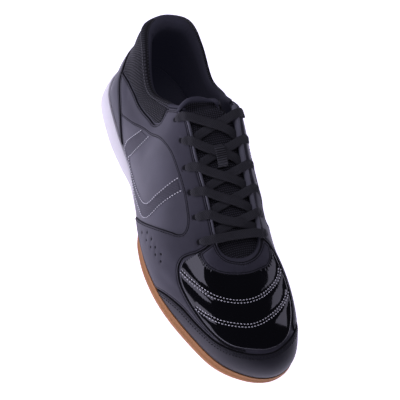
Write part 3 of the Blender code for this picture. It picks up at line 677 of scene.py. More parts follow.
def carved(item, shape):
    """Cuts closed shapes out of a piece."""
    mesh = bpy.data.meshes.new(item.name + "_cutter")
    shape.to_mesh(mesh)
    shape.free()
    cutter = bpy.data.objects.new(item.name + "_cutter", mesh)
    bpy.context.scene.collection.objects.link(cutter)
    cut = item.modifiers.new("cut", "BOOLEAN")
    cut.operation = "DIFFERENCE"
    cut.solver = "MANIFOLD"
    cut.object = cutter
    bpy.context.view_layer.update()
    baked(item)
    bpy.data.objects.remove(cutter, do_unlink=True)
    bpy.data.meshes.remove(mesh)


def drilled(item, centres, axes, radius, depth):
    """Cuts round holes through a piece."""
    shape = bmesh.new()
    for centre, axis in zip(centres, axes):
        turn = Vector(axis).to_track_quat("Z", "Y").to_matrix().to_4x4()
        bmesh.ops.create_cone(shape, cap_ends=True, segments=20, radius1=radius, radius2=radius,
                              depth=depth, matrix=Matrix.Translation(Vector(centre)) @ turn)
    carved(item, shape)
    item.data.set_sharp_from_angle(angle=SHARP_ANGLE)
    return item


FULL_TURN = 6.2832
TREAD_PITCH = 0.0042
TREAD_ZIGZAG = 0.012


class Value:
    """A socket in a finish, on which Python's operators add Math nodes."""

    def __init__(self, finish, socket):
        self.finish = finish
        self.socket = socket

    def math(self, operation, *inputs):
        """Adds a Math node; the inputs are numbers or values."""
        node = self.finish.node("ShaderNodeMath", {"operation": operation}, dict(enumerate(inputs)))
        return Value(self.finish, node.outputs[0])

    def __add__(self, other):
        return self.math("ADD", self, other)

    __radd__ = __add__

    def __sub__(self, other):
        return self.math("SUBTRACT", self, other)

    def __rsub__(self, other):
        return self.math("SUBTRACT", other, self)

    def __mul__(self, other):
        return self.math("MULTIPLY", self, other)

    __rmul__ = __mul__

    def __truediv__(self, other):
        return self.math("DIVIDE", self, other)

    def __rtruediv__(self, other):
        return self.math("DIVIDE", other, self)

    def __abs__(self):
        return self.math("ABSOLUTE", self)

    def sine(self):
        """The sine of the value."""
        return self.math("SINE", self)

    def wave(self, pitch):
        """A wave from 0 to 1 with a pitch."""
        return (self * (FULL_TURN / pitch)).sine() * 0.5 + 0.5

    def fraction(self):
        """The part after the point."""
        return self.math("FRACT", self)

    def step(self, low, high):
        """A soft step from 0 at low to 1 at high."""
        node = self.finish.node("ShaderNodeMapRange", {"interpolation_type": "SMOOTHSTEP"},
                                {"Value": self, "From Min": low, "From Max": high})
        return Value(self.finish, node.outputs[0])


class Finish:
    """A material and the nodes of its look."""

    def __init__(self, name, colour, roughness):
        self.material = bpy.data.materials.new(name)
        self.material.use_nodes = True
        self.tree = self.material.node_tree
        self.shader = self.tree.nodes["Principled BSDF"]
        self.colour = (*colour, 1.0)
        self.set("Base Color", self.colour)
        self.set("Roughness", roughness)
        self.material.diffuse_color = self.colour

    def set(self, socket, value):
        """Sets or feeds one of the shader's sockets."""
        self.feed(self.shader.inputs[socket], value)

    def feed(self, socket, value):
        """Links a value to a socket, or sets a constant on it."""
        if isinstance(value, Value):
            self.tree.links.new(value.socket, socket)
        else:
            socket.default_value = value

    def node(self, kind, settings=None, values=None):
        """Adds a node with its settings, then its sockets' values or links."""
        node = self.tree.nodes.new(kind)
        for name, setting in (settings or {}).items():
            setattr(node, name, setting)
        for name, value in (values or {}).items():
            self.feed(node.inputs[name], value)
        return node

    def place(self):
        """Object coordinates, in metres."""
        return Value(self, self.node("ShaderNodeTexCoord").outputs["Object"])

    def pattern(self):
        """The piece's own map, in metres along and across it."""
        node = self.node("ShaderNodeUVMap", {"uv_map": "pattern"})
        return self.split(Value(self, node.outputs[0]))[:2]

    def split(self, vector):
        """The three parts of a vector."""
        node = self.node("ShaderNodeSeparateXYZ", None, {0: vector})
        return tuple(Value(self, output) for output in node.outputs)

    def stored(self, name):
        """A number stored on the piece's points."""
        return Value(self, self.node("ShaderNodeAttribute", {"attribute_name": name}).outputs["Fac"])

    def noise(self, vector, scale, detail=2.0):
        """Soft noise from 0 to 1."""
        node = self.node("ShaderNodeTexNoise", None, {"Vector": vector, "Scale": scale, "Detail": detail})
        return Value(self, node.outputs[0])

    def cells(self, vector, scale):
        """The distance to the nearest of scattered points, in cells."""
        node = self.node("ShaderNodeTexVoronoi", None, {"Vector": vector, "Scale": scale})
        return Value(self, node.outputs["Distance"])

    def mix(self, factor, first, second):
        """A colour between two colours."""
        node = self.node("ShaderNodeMix", {"data_type": "RGBA"}, {0: factor, 6: first, 7: second})
        return Value(self, node.outputs[2])

    def shade(self, share):
        """The finish's own colour, darker or lighter."""
        return (*(min(c * share, 1.0) for c in self.colour[:3]), 1.0)

    def bump(self, height, depth, strength=1.0):
        """Turns heights from 0 to 1 into bumps of a depth in metres."""
        values = {"Height": height, "Distance": depth, "Strength": strength}
        node = self.node("ShaderNodeBump", None, values)
        self.set("Normal", Value(self, node.outputs[0]))


def known(name):
    """A finish that is already made, or nothing."""
    return bpy.data.materials.get(name)


def leather(name, colour, groove_shade=0.9, gloss=0.3):
    """Smooth dark leather with a fine grain, with painted shade in its seam grooves, a painted shadow along
    its cut edges and a painted highlight just inside them.
    """
    if known(name):
        return known(name)
    look = Finish(name, colour, 0.46)
    spot = look.place()
    grain = look.cells(spot, 1300)
    fine = look.noise(spot, 2400, 3.0)
    cloud = look.noise(spot, 30, 3.0)
    edge = look.stored("edge_mm")
    # Painted shade along the stitched groove inside the edge.
    groove = 1 - abs(edge - SEAM_INSET / MM).step(0.15, 0.55)
    # Painted shadow along the panel's edge and over its cut sides.
    cut = 1 - edge.step(0.5, 1.15)
    # Painted highlight along the rounded edge.
    edge_highlight = (1 - abs(edge - 1.35).step(0.05, 0.35)) * 0.3
    colour = look.mix(cloud.step(0.3, 0.7), look.shade(0.86), look.shade(1.14))
    colour = look.mix(edge_highlight, colour, look.shade(1.6))
    colour = look.mix(groove * groove_shade, colour, look.shade(0.06))
    look.set("Base Color", look.mix(cut * 0.95, colour, look.shade(0.04)))
    look.set("Roughness", 0.4 + fine * 0.16 + groove * 0.25 + cut * 0.3)
    look.set("Specular IOR Level", gloss)
    look.bump(grain * 0.7 + fine * 0.3, 0.00012, 0.5)
    return look.material


def patent(colours):
    """Black patent with a clear gloss and a painted grey highlight along its rim."""
    look = Finish("patent_look", colours.patent, 0.09)
    spot = look.place()
    haze = look.noise(spot, 45, 2.0)
    ripple = look.noise(spot, 130, 1.0)
    edge = look.stored("edge_mm")
    # Painted highlight: a pale grey line along the rounded rim.
    rim = 1 - edge.step(0.5, 1.0)
    colour = look.mix(haze, look.shade(0.8), look.shade(1.3))
    look.set("Base Color", look.mix(rim, colour, (0.07, 0.07, 0.08, 1)))
    look.set("Roughness", 0.05 + haze * 0.05 + rim * 0.3)
    look.set("Coat Weight", 0.35)
    look.set("Coat Roughness", 0.03)
    look.bump(ripple, 0.00012, 0.35)
    return look.material


def air_mesh(name, colour, pitch, rise):
    """Knitted mesh: staggered rows of pale raised knots on a dark ground."""
    if known(name):
        return known(name)
    look = Finish(name, colour, 0.72)
    u, v = look.pattern()
    row = v / rise
    shift = (row / 2).fraction().step(0.49, 0.51) * 0.5
    across = (u / pitch + shift).fraction() - 0.5
    up = row.fraction() - 0.5
    knot = 1 - (across * across + up * up).step(0.02, 0.17)
    thread = look.noise(look.place(), 1800, 2.0)
    colour = look.mix(thread, look.shade(2.6), look.shade(4.2))
    look.set("Base Color", look.mix(knot, look.shade(0.25), colour))
    look.set("Roughness", 0.85 - knot * 0.25)
    look.bump(knot * 0.8 + thread * 0.2, 0.0005, 0.8)
    return look.material


def shaded_collar_knit(colours):
    """The collar's mesh, darker than the tongue's: painted shade."""
    # Six tenths of the mesh colour: painted shade.
    colour = tuple(0.6 * channel for channel in colours.mesh)
    return air_mesh("shaded_collar_mesh_look", colour, 0.0021, 0.0026)


def lining(colours):
    """Soft lining with a fine knit: pale on the collar's roll, with painted shade that turns it nearly
    black elsewhere, and a faint glow of painted light.
    """
    if known("lining_look"):
        return known("lining_look")
    look = Finish("lining_look", colours.lining, 0.8)
    spot = look.place()
    knit = look.cells(spot, 1500)
    cloud = look.noise(spot, 60, 2.0)
    colour = look.mix(cloud, look.shade(0.8), look.shade(1.25))
    # Much darker where the stored share is nought: painted shade inside the shoe.
    look.set("Base Color", look.mix(look.stored("roll"), look.shade(0.2), colour))
    look.set("Roughness", 0.7 + knit * 0.2)
    # A faint glow, painted light in the dark inside of the shoe.
    look.set("Emission Color", (0.0035, 0.0035, 0.0065, 1.0))
    look.set("Emission Strength", 1.0)
    look.bump(knit, 0.0002, 0.5)
    return look.material


def woven(colours):
    """The side band's woven cloth, with a slanted rib."""
    look = Finish("woven_look", colours.leather, 0.6)
    u, v = look.pattern()
    cloth = (u + v).wave(0.0011) * 0.7 + (u - v).wave(0.0019) * 0.3
    look.set("Base Color", look.mix(cloth, look.shade(0.55), look.shade(1.6)))
    look.set("Roughness", 0.5 + cloth * 0.2)
    look.bump(cloth, 0.0003, 0.9)
    return look.material


def lace_cloth(colours):
    """Flat woven lace with slanted threads either side of its middle."""
    if known("lace_look"):
        return known("lace_look")
    look = Finish("lace_look", colours.lace, 0.8)
    u, v = look.pattern()
    slant = (u + abs(v) * 0.8).wave(0.0014)
    fuzz = look.noise(look.place(), 1600, 2.0)
    cloth = slant * 0.7 + fuzz * 0.3
    look.set("Base Color", look.mix(cloth, look.shade(0.6), look.shade(1.9)))
    look.set("Roughness", 0.75 + fuzz * 0.15)
    look.bump(cloth, 0.00025, 0.8)
    return look.material


def webbing(colours, pitch):
    """Woven webbing, with a painted highlight along its cross ribs."""
    look = Finish("webbing_look", colours.lace, 0.75)
    u, v = look.pattern()
    rib = abs((u * (FULL_TURN / 2 / pitch)).sine())
    # Painted highlight on the tops of the ribs.
    look.set("Base Color", look.mix(rib.step(0.25, 0.95), look.shade(0.25), look.shade(2.4)))
    look.set("Roughness", 0.85 - rib * 0.2)
    look.bump(rib * 0.7 + v.wave(0.0012) * 0.3, 0.0003, 0.8)
    return look.material


def gum_rubber(colours):
    """Tan gum rubber, a little cloudy, with a fine tread underneath."""
    look = Finish("gum_look", colours.gum, 0.5)
    spot = look.place()
    x, y, z = look.split(spot)
    cloud = look.noise(spot, 22, 3.0)
    fine = look.noise(spot, 900, 2.0)
    under = 1 - z.step(0.0002, 0.002)
    zigzag = abs((y / TREAD_ZIGZAG).fraction() - 0.5) * TREAD_ZIGZAG
    tread = (x + zigzag).wave(TREAD_PITCH)
    colour = look.mix(cloud.step(0.3, 0.7), look.shade(0.88), look.shade(1.08))
    look.set("Base Color", look.mix(under * tread * 0.3, colour, look.shade(0.6)))
    look.set("Roughness", 0.46 + fine * 0.14)
    look.set("Specular IOR Level", 0.2)
    look.bump(fine * 0.06 + under * tread, 0.0007, 0.5)
    return look.material


def foam(colours):
    """Smooth white moulded foam."""
    look = Finish("foam_look", colours.foam, 0.5)
    spot = look.place()
    skin_marks = look.noise(spot, 700, 2.0)
    cloud = look.noise(spot, 35, 2.0)
    look.set("Base Color", look.mix(cloud, look.shade(0.95), look.shade(1.04)))
    look.set("Roughness", 0.45 + skin_marks * 0.15)
    look.bump(skin_marks, 0.00015, 0.4)
    return look.material


def thread_look(name, colour):
    """Twisted sewing thread."""
    if known(name):
        return known(name)
    look = Finish(name, colour, 0.55)
    twist = look.noise(look.place(), 3000, 1.0)
    look.set("Base Color", look.mix(twist, look.shade(0.75), look.shade(1.1)))
    look.set("Roughness", 0.5 + twist * 0.2)
    return look.material


# Panels

# The ring round a hole that is painted dark as shade, then the hole's sunk and rounded rim, in metres
HOLE_RIM = 0.0005
HOLE_SINK = 0.0003
HOLE_ROUND = 0.0008
EDGE_RINGS = (0.00025, 0.0006, 0.00105, 0.0015, 0.0019, 0.0024, 0.0032)
EDGE_ROUND = 0.001
TROUGH_ROWS = (-0.004, -0.0025, -0.0012, 0.0, 0.0012, 0.0025, 0.004)
TROUGH_DEPTH = 0.0009
TROUGH_WIDTH = 0.0022
TROUGH_CLEAR = 0.0012
GROOVE_DEPTH = 0.0003
GROOVE_WIDTH = 0.0004
PANEL_SINK = 0.0004
GUARD_LIFT = 0.0004
CLOTH_SINK = 0.0002
MESH_THICK = 0.0009
BAND_THICK = 0.0005
CELL = 0.0022
FINE_CELL = 0.0016
# Scale of the flat map in which a panel is cut into triangles
FLAT_SCALE = 1000


def outline(runs, spacing=0.0009):
    """A closed loop of station and height through a panel's runs, with corners where they meet."""
    parts = [smooth_line(run, spacing)[:-1] for run in runs]
    loop = np.concatenate(parts)
    x, y = loop[:, 0], loop[:, 1]
    area = (x * np.roll(y, -1) - np.roll(x, -1) * y).sum()
    return loop if area > 0 else loop[::-1]


def circle(place, height, radius, count=14):
    """A round hole's loop of station and height on the surface."""
    centre = np.full((count, 2), (place, height))
    along = unit(slopes(centre[:, 0], centre[:, 1])[0])
    up = np.cross(outward(centre[:, 0], centre[:, 1]), along)
    turn = np.linspace(0, 2 * np.pi, count, endpoint=False)[:, None]
    return moved(centre, (along * np.cos(turn) + up * np.sin(turn)) * radius)


def panel_points(loop, holes, cell):
    """Points of a panel: rings along its edge and a grid within."""
    edge = in_space(loop)
    kept = []
    for distance in EDGE_RINGS:
        ring = aside(loop, distance, closed=True)[::2 if distance > 0.001 else 1]
        gap = nearest(in_space(ring), edge)
        kept.append(ring[(gap > 0.85 * distance) & inside(ring, loop)])
    t = np.arange(loop[:, 0].min(), loop[:, 0].max(), cell / STATION_RUN)
    s = np.arange(max(loop[:, 1].min(), 0), min(loop[:, 1].max(), 1), cell / WALL_RUN)
    field = np.stack(np.meshgrid(t, s), -1).reshape(-1, 2)
    field = field[inside(field, loop)]
    gap = nearest(in_space(field), edge)
    kept.append(field[gap > EDGE_RINGS[-1] + 0.5 * cell])
    points = np.concatenate(kept)
    for hole in holes:
        points = points[~inside(points, hole)]
    return points


def panel(name, runs, material, lift, thick, holes=(), cell=CELL, troughs=(), groove=GROOVE_DEPTH):
    """A sewn panel: a rounded layer on the upper inside an outline, with holes and quilted troughs."""
    loop = outline(runs)
    border = in_space(loop)
    points = panel_points(loop, holes, cell)
    for line in troughs:
        beside = np.concatenate([aside(line, distance) for distance in TROUGH_ROWS])
        gap = nearest(in_space(beside), border)
        points = np.concatenate([points, beside[(gap > TROUGH_CLEAR) & inside(beside, loop)]])
    loops = [loop, *holes]
    edges, start = [], 0
    for ring in loops:
        count = len(ring)
        edges += [(start + i, start + (i + 1) % count) for i in range(count)]
        start += count
    flat = np.concatenate([*loops, points]) * (STATION_RUN, WALL_RUN) * FLAT_SCALE
    found = delaunay_2d_cdt([Vector(p) for p in flat], edges, [], 4, 1e-4)
    at = np.array([tuple(v) for v in found[0]]) / FLAT_SCALE / (STATION_RUN, WALL_RUN)
    faces = [tuple(face) for face in found[2]]
    space = in_space(at)
    gap = nearest(space, border)
    rise = np.sqrt(1 - (1 - np.clip(gap / EDGE_ROUND, 0, 1)) ** 2) * 0.7 + 0.3
    rise = lift + thick * rise - groove * np.exp(-((gap - SEAM_INSET) / GROOVE_WIDTH) ** 2)
    rim = gap.copy()
    for ring in holes:
        away = nearest(space, in_space(ring))
        rise = rise - HOLE_SINK * (1 - smooth(0.0, HOLE_ROUND, away))
        # A narrow ring round each hole takes the leather's painted edge shadow: painted shade at the hole.
        rim = np.where(away < HOLE_RIM, away, rim)
    for line in troughs:
        away = nearest(space, in_space(line))
        rise = rise - TROUGH_DEPTH * np.exp(-(away / TROUGH_WIDTH) ** 2)
    top = skin(at[:, 0], at[:, 1], rise)
    under = skin(at[:, 0], at[:, 1], np.full(len(at), lift - PANEL_SINK))
    count = len(at)
    sides = {}
    for face in faces:
        for a, b in zip(face, face[1:] + face[:1]):
            if sides.pop((b, a), None) is None:
                sides[(a, b)] = True
    closed = faces + [tuple(v + count for v in face[::-1]) for face in faces]
    closed += [(b, a, a + count, b + count) for a, b in sides]
    uv = at * (STATION_RUN, WALL_RUN)
    item = add_object(name, np.concatenate([top, under]), closed, [material], uv=np.concatenate([uv, uv]))
    # Distance to the edge or to a hole, in millimetres, from which the finishes paint their edge shadow,
    # groove shade and edge highlight.
    point_values(item, "edge_mm", np.concatenate([rim, rim]) / MM)
    return item


def eyelet_height(place, sizes):
    """The height at which an eyelet sits its inset below the throat's edge."""
    if place < TOE:
        inset = np.interp(place, EYELET_ENDS, (sizes.eyelet_inset, sizes.eyelet_inset_low))
    else:
        insets = (sizes.inner_inset, sizes.inner_inset_low)
        inset = np.interp(STATION_COUNT - place, INNER_EYELET_ENDS, insets)
    heights = np.linspace(1, 0.5, 101)
    return np.interp(inset, lengths(wall(np.full(101, place), heights)), heights)


def eyelet_places(inner):
    """Places of one side's eyelets from the ankle to the toe, counted from the heel on that side."""
    first, last = INNER_EYELET_ENDS if inner else EYELET_ENDS
    return np.linspace(first, last, EYELET_ROWS)


def eyelets(sizes, inner):
    """Stations and heights of one side's eyelets."""
    places = STATION_COUNT - eyelet_places(True) if inner else eyelet_places(False)
    return [(place, eyelet_height(place, sizes)) for place in places]


# Tongue and laces

def bridge(place, share):
    """The tongue's face over the open throat, from the outer edge (-1) to the inner edge (1)."""
    ends, pulls = [], []
    for p in (place, STATION_COUNT - place):
        edge = wall(p, 1.0) - outward(p, 1.0) * TONGUE_DROP
        below = wall(p, BRIDGE_ROOT) - outward(p, BRIDGE_ROOT) * TONGUE_DROP
        ends.append(edge)
        pulls.append(unit(edge - below))
    chord = np.linalg.norm(ends[1] - ends[0]) * BRIDGE_PULL
    w = (np.asarray(share, float)[..., None] + 1) / 2
    return (ends[0] * (1 + 2 * w) * (1 - w) ** 2 + ends[1] * w * w * (3 - 2 * w)
            + chord * w * (1 - w) * (pulls[0] * (1 - w) + pulls[1] * w))


def bridge_up(place, share):
    """Unit normal of the tongue's face over the throat."""
    step = 0.05
    along = bridge(place + step, share) - bridge(place - step, share)
    across = bridge(place, share + step) - bridge(place, share - step)
    return unit(np.cross(along, across))


def normals_of(grid):
    """Unit normals of a grid of points."""
    return unit(np.cross(np.gradient(grid, axis=0), np.gradient(grid, axis=1)))


def pillow(name, middle, half, materials, uv, slots=None):
    """A closed pad: a grid swelled both ways, shut along its border."""
    rows, lanes = middle.shape[:2]
    normal = normals_of(middle)
    top = (middle + normal * half[..., None]).reshape(-1, 3)
    under = (middle - normal * half[..., None]).reshape(-1, 3)
    faces = grid_faces(rows, lanes) + grid_faces(rows, lanes, start=rows * lanes, flip=True)
    flat = np.asarray(uv).reshape(-1, 2)
    points, flat = np.concatenate([top, under]), np.concatenate([flat, flat])
    item = add_object(name, points, faces, materials, slots, flat)
    shape = bmesh.new()
    shape.from_mesh(item.data)
    bmesh.ops.remove_doubles(shape, verts=shape.verts, dist=1e-6)
    shape.to_mesh(item.data)
    shape.free()
    item.data.shade_smooth()
    return item


def swept(name, rings, materials, slots=None, uv=None):
    """A closed body through like rings, with flat ends."""
    rows, count = rings.shape[:2]
    faces = grid_faces(rows, count, ring_lanes=True)
    faces += [tuple(range(count)), tuple(range((rows - 1) * count, rows * count))[::-1]]
    return faced(add_object(name, rings.reshape(-1, 3), faces, materials, slots, uv))


def strip(name, path, up, widths, thick, material):
    """A flat woven strip along a path, with rounded edges and closed ends."""
    tangent = unit(np.gradient(path, axis=0))
    side = unit(np.cross(up, tangent))
    top = np.cross(tangent, side)
    edge = np.array(STRIP_SECTION)
    rings = (path[:, None] + side[:, None] * edge[None, :, :1] * widths[:, None, None] / 2
             + top[:, None] * edge[None, :, 1:] * thick)
    across = edge[None, :, 0] * widths[:, None] / 2
    uv = np.stack([np.broadcast_to(lengths(path)[:, None], across.shape), across], -1).reshape(-1, 2)
    return swept(name, rings, [material], uv=uv)


def rolled(place, run, lift):
    """A section over the top line: run along the wall from that line and lift off the wall, in metres."""
    climb = wall(place, 1.0) - wall(place, 1 - ROLL_ROOT)
    height = np.clip(1 + run * ROLL_ROOT / np.linalg.norm(climb), 0, 1)
    at = np.full(len(run), place)
    base = wall(at, height) + unit(climb) * np.maximum(run, 0)[:, None]
    raised = lift + np.where(lift > 0, relief(at, height), 0)
    return base + outward(at, height) * raised[:, None]


def joined(name, items):
    """Joins like pieces into one object."""
    shape = bmesh.new()
    for item in items:
        shape.from_mesh(item.data)
    keep = items[0]
    shape.to_mesh(keep.data)
    shape.free()
    for item in items[1:]:
        mesh = item.data
        bpy.data.objects.remove(item, do_unlink=True)
        bpy.data.meshes.remove(mesh)
    keep.name = name
    keep.data.name = name
    return keep


def lace_seat(sizes):
    """How far a lace's middle lies above the upper where it rests on a panel."""
    return sizes.overlay + 0.55 * sizes.lace_thick


def lace_root(place, ahead, sizes):
    """A lace's rise through its eyelet and its turn towards a place ahead; points, ups and widths."""
    eye = eyelet_height(place, sizes)
    out = outward(place, eye)
    hole = skin(place, eye, 0.0)
    climb = skin(*ahead, 0.0) - hole
    climb = unit(climb - out * (climb @ out))
    seat = lace_seat(sizes)
    rows = []
    for rise, run, turn, width in ((-0.0034, 0.0004, 0.0, 0.36), (0.0002, 0.0005, 0.1, 0.38),
                                   (seat - 0.0003, 0.0013, 0.5, 0.55), (seat + 0.0002, 0.0035, 0.95, 0.88)):
        up = out * turn - climb * (1 - turn)
        rows.append([*(hole + out * rise + climb * run), *up, sizes.lace_width * width])
    return rows


def lace_run(sizes, first, last, side, over):
    """One lace, from its eyelet over the tongue and under the far edge; points, ups and widths."""
    def stop(place, share, lift, width):
        """A stop over the tongue, counted from the lace's own side."""
        up = bridge_up(place, side * share)
        return [*(bridge(place, side * share) + up * lift), *up, width]

    def on_wall(place, height, lift, width):
        """A stop on an eyestay or under it."""
        return [*skin(place, height, lift), *outward(place, height), width]

    def place_at(share):
        """The place along the throat at a share across it."""
        return first + (last - first) * (share - LACE_START) / (LACE_STOP - LACE_START)

    def own(place):
        """The station of a place on the lace's own side."""
        return place if side > 0 else STATION_COUNT - place

    wide = sizes.lace_width
    eye = eyelet_height(own(first), sizes)
    on_stay = []
    for share in (-1.2, -1.03):
        on_stay.append((own(place_at(share)), 1 + (eye - 1) * (share + 1) / (LACE_START + 1)))
    rows = lace_root(own(first), on_stay[1], sizes)
    rows += [on_wall(place, height, lace_seat(sizes) + LACE_LIFT, wide) for place, height in on_stay]
    for share, lift in ((-0.86, 0.0036), (-0.62, 0.0027), (-0.35, 0.0016), (0.0, 0.0011), (0.35, 0.0009),
                        (0.62, 0.0007), (0.84, 0.0004)):
        hump = over * np.exp(-(share / 0.45) ** 2)
        rows.append(stop(place_at(share), share, lift + hump, wide))
    far = STATION_COUNT - last if side > 0 else last
    rows.append(on_wall(far, 0.965, -0.0027, wide))
    rows.append(on_wall(far, 0.92, -0.0029, wide * 0.9))
    return np.array(rows)


# Stitching

def stitch_tree():
    """Geometry Nodes that lay stitches along lines."""
    tree = bpy.data.node_groups.new("stitches", "GeometryNodeTree")
    face = tree.interface
    face.new_socket("Lines", in_out="INPUT", socket_type="NodeSocketGeometry")
    for name in ("Pitch", "Length", "Thread"):
        face.new_socket(name, in_out="INPUT", socket_type="NodeSocketFloat")
    face.new_socket("Finish", in_out="INPUT", socket_type="NodeSocketMaterial")
    face.new_socket("Stitches", in_out="OUTPUT", socket_type="NodeSocketGeometry")

    def add(kind, inputs=None, **settings):
        """Adds a node with its settings and its inputs, which are sockets to link or values to set."""
        node = tree.nodes.new(kind)
        for key, setting in settings.items():
            setattr(node, key, setting)
        for key, value in (inputs or {}).items():
            if isinstance(value, bpy.types.NodeSocket):
                tree.links.new(value, node.inputs[key])
            else:
                node.inputs[key].default_value = value
        return node.outputs

    given = add("NodeGroupInput")
    curve = add("GeometryNodeMeshToCurve", {0: given["Lines"]})
    even = add("GeometryNodeResampleCurve", {"Curve": curve[0], "Length": given["Pitch"]}, mode="LENGTH")
    tangent = add("GeometryNodeInputTangent")
    normal = add("GeometryNodeInputNamedAttribute", {"Name": "up"}, data_type="FLOAT_VECTOR")
    along = add("FunctionNodeAlignRotationToVector", {"Vector": tangent[0]}, axis="X")
    turns = {"Rotation": along[0], "Vector": normal["Attribute"]}
    upright = add("FunctionNodeAlignRotationToVector", turns, axis="Z", pivot_axis="X")
    bead = add("GeometryNodeMeshUVSphere", {"Segments": 8, "Rings": 5, "Radius": 0.5})
    size = add("ShaderNodeCombineXYZ", {0: given["Length"], 1: given["Thread"], 2: given["Thread"]})
    laid = {"Points": even[0], "Instance": bead["Mesh"], "Rotation": upright[0], "Scale": size[0]}
    lay = add("GeometryNodeInstanceOnPoints", laid)
    real = add("GeometryNodeRealizeInstances", {0: lay[0]})
    soft = add("GeometryNodeSetShadeSmooth", {0: real[0]})
    paint = add("GeometryNodeSetMaterial", {"Geometry": soft[0], "Material": given["Finish"]})
    add("NodeGroupOutput", {0: paint[0]})
    return tree


def sew(name, tree, lines, material, sizes):
    """Lays stitches along lines of station and height, each at a lift, as one plain mesh."""
    points, ups, edges = [], [], []
    for line, lift in lines:
        start = len(points)
        points += list(skin(line[:, 0], line[:, 1], np.full(len(line), lift)))
        ups += list(outward(line[:, 0], line[:, 1]))
        edges += [(start + i, start + i + 1) for i in range(len(line) - 1)]
    mesh = bpy.data.meshes.new(name)
    mesh.from_pydata(np.array(points).tolist(), edges, [])
    layer = mesh.attributes.new("up", "FLOAT_VECTOR", "POINT")
    layer.data.foreach_set("vector", np.array(ups, np.float32).ravel())
    item = bpy.data.objects.new(name, mesh)
    bpy.context.scene.collection.objects.link(item)
    sewing = item.modifiers.new("stitches", "NODES")
    sewing.node_group = tree
    given = {"Pitch": sizes.stitch_pitch, "Length": sizes.stitch_length, "Thread": sizes.stitch_thick,
             "Finish": material}
    for socket in tree.interface.items_tree:
        if socket.name in given:
            sewing[socket.identifier] = given[socket.name]
    bpy.context.view_layer.update()
    return baked(item)


# Sole

def sole_loops(places, side, low, high, lanes, seat=0.0, tuck=NO_TUCK):
    """Closed loops across the sole, from the outer bottom edge round to the outer top edge."""
    loops = []
    shares = np.linspace(0, 1, lanes)
    for place in places:
        edges = [sole_edge(place), sole_edge(STATION_COUNT - place)]

        def corner(k, inset):
            plan, out = edges[k]
            return plan - out * (inset + profile(tuck, plan[0]))

        def lane(inset, share, table, rise):
            plan = corner(0, inset) * (1 - share) + corner(1, inset) * share
            return (*plan, profile(table, plan[0]) + rise)

        loop = [lane(side[0][0], share, low, seat) for share in shares]
        rises = []
        for k in (1, 0):
            rise = []
            for inset, share in side[1:-1]:
                plan = corner(k, inset)
                floor, roof = profile(low, plan[0]) + seat, profile(high, plan[0])
                rise.append((*plan, floor + (roof - floor) * share))
            rises.append(rise)
        loop += rises[0]
        loop += [lane(side[-1][0], share, high, 0.0) for share in shares[::-1]]
        loop += rises[1][::-1]
        loops.append(loop)
    return np.array(loops) * MM + SHIFT


def sole_body(name, loops, material):
    """A closed body through the sole's loops."""
    rows, count = loops.shape[:2]
    faces = [tuple(range(count))[::-1], tuple(range((rows - 1) * count, rows * count))]
    faces += grid_faces(rows, count, ring_lanes=True)
    item = faced(add_object(name, loops.reshape(-1, 3), faces, [material]))
    item.data.set_sharp_from_angle(angle=SOLE_SHARP_ANGLE)
    return item


def end_spaced(first, last, count):
    """Stations set closer together near both ends."""
    share = (1 - np.cos(np.linspace(0, np.pi, count))) / 2
    return first + (last - first) * share


class SHOE_OT_sole(bpy.types.Operator):
    """Makes the gum outsole, the foam wedge and the insole"""

    bl_idname = "shoe.sole"
    bl_label = "Sole"

    def execute(self, context):
        colours, sizes = context.scene.shoe_colours, context.scene.shoe_sizes
        rows, lanes = OUTSOLE_GRID
        places = end_spaced(SOLE_TIP, TOE - SOLE_TIP, rows)
        loops = sole_loops(places, GUM_SIDE, SOLE_BOTTOM, GUM_TOP, lanes, tuck=GUM_TUCK)
        outsole = sole_body("gum_outsole", loops, gum_rubber(colours))
        self.cut_grooves(outsole)
        dress(outsole, "gum_rubber", "outsole")
        rows, lanes = MIDSOLE_GRID
        places = SOLE_TIP + (MIDSOLE_END - SOLE_TIP) * np.linspace(0, 1, rows) ** 1.4
        loops = sole_loops(places, MIDSOLE_SIDE, GUM_TOP, SOLE_TOP, lanes, seat=0.2)
        dress(sole_body("foam_wedge", loops, foam(colours)), "white_foam", "midsole")
        self.make_insole(colours, sizes)
        return {"FINISHED"}

    def cut_grooves(self, outsole):
        """Cuts the flex grooves across the tread."""
        shape = bmesh.new()
        for place in GROOVE_PLACES:
            box = bmesh.ops.create_cube(shape, size=1.0)["verts"]
            size = Matrix.Diagonal((*GROOVE_SIZE, 1.0))
            move = Matrix.Translation((place * MM + SHIFT[0], 0.0, 0.0))
            bmesh.ops.transform(shape, matrix=move @ size, verts=box)
        carved(outsole, shape)

    def make_insole(self, colours, sizes):
        """A cloth-covered insole, cupped a little at its edge."""
        places = np.linspace(0.5, TOE - 0.5, INSOLE_GRID[0])
        lanes = np.linspace(-1, 1, INSOLE_GRID[1])
        rows = []
        for place in places:
            ends = []
            for p in (STATION_COUNT - place, place):
                row = Station(*station(p))
                facing = np.radians(row.facing)
                out = np.array([np.cos(facing), np.sin(facing)])
                ends.append(np.array([row.foot_x, row.foot_y]) - out * INSOLE_INSET)
            plan = ends[0] + (ends[1] - ends[0]) * ((lanes + 1) / 2)[:, None]
            floor = profile(SOLE_TOP, plan[:, 0]) + 0.4 + sizes.insole_thick / MM / 2
            rows.append(np.column_stack([plan, floor + INSOLE_CUP * np.abs(lanes) ** 4]))
        middle = np.array(rows)[:, ::-1] * MM + SHIFT
        shut = smooth(0, 3, from_ends(len(places)))[:, None] * (1 - np.abs(lanes[None, :]) ** 16)
        half = sizes.insole_thick / 2 * np.sqrt(np.clip(shut, 0, 1))
        # The insole stores no share, so the lining paints it dark as shade.
        item = pillow("insole_board", middle, half, [lining(colours)], middle[..., :2])
        dress(item, "dark_lining", "insole")


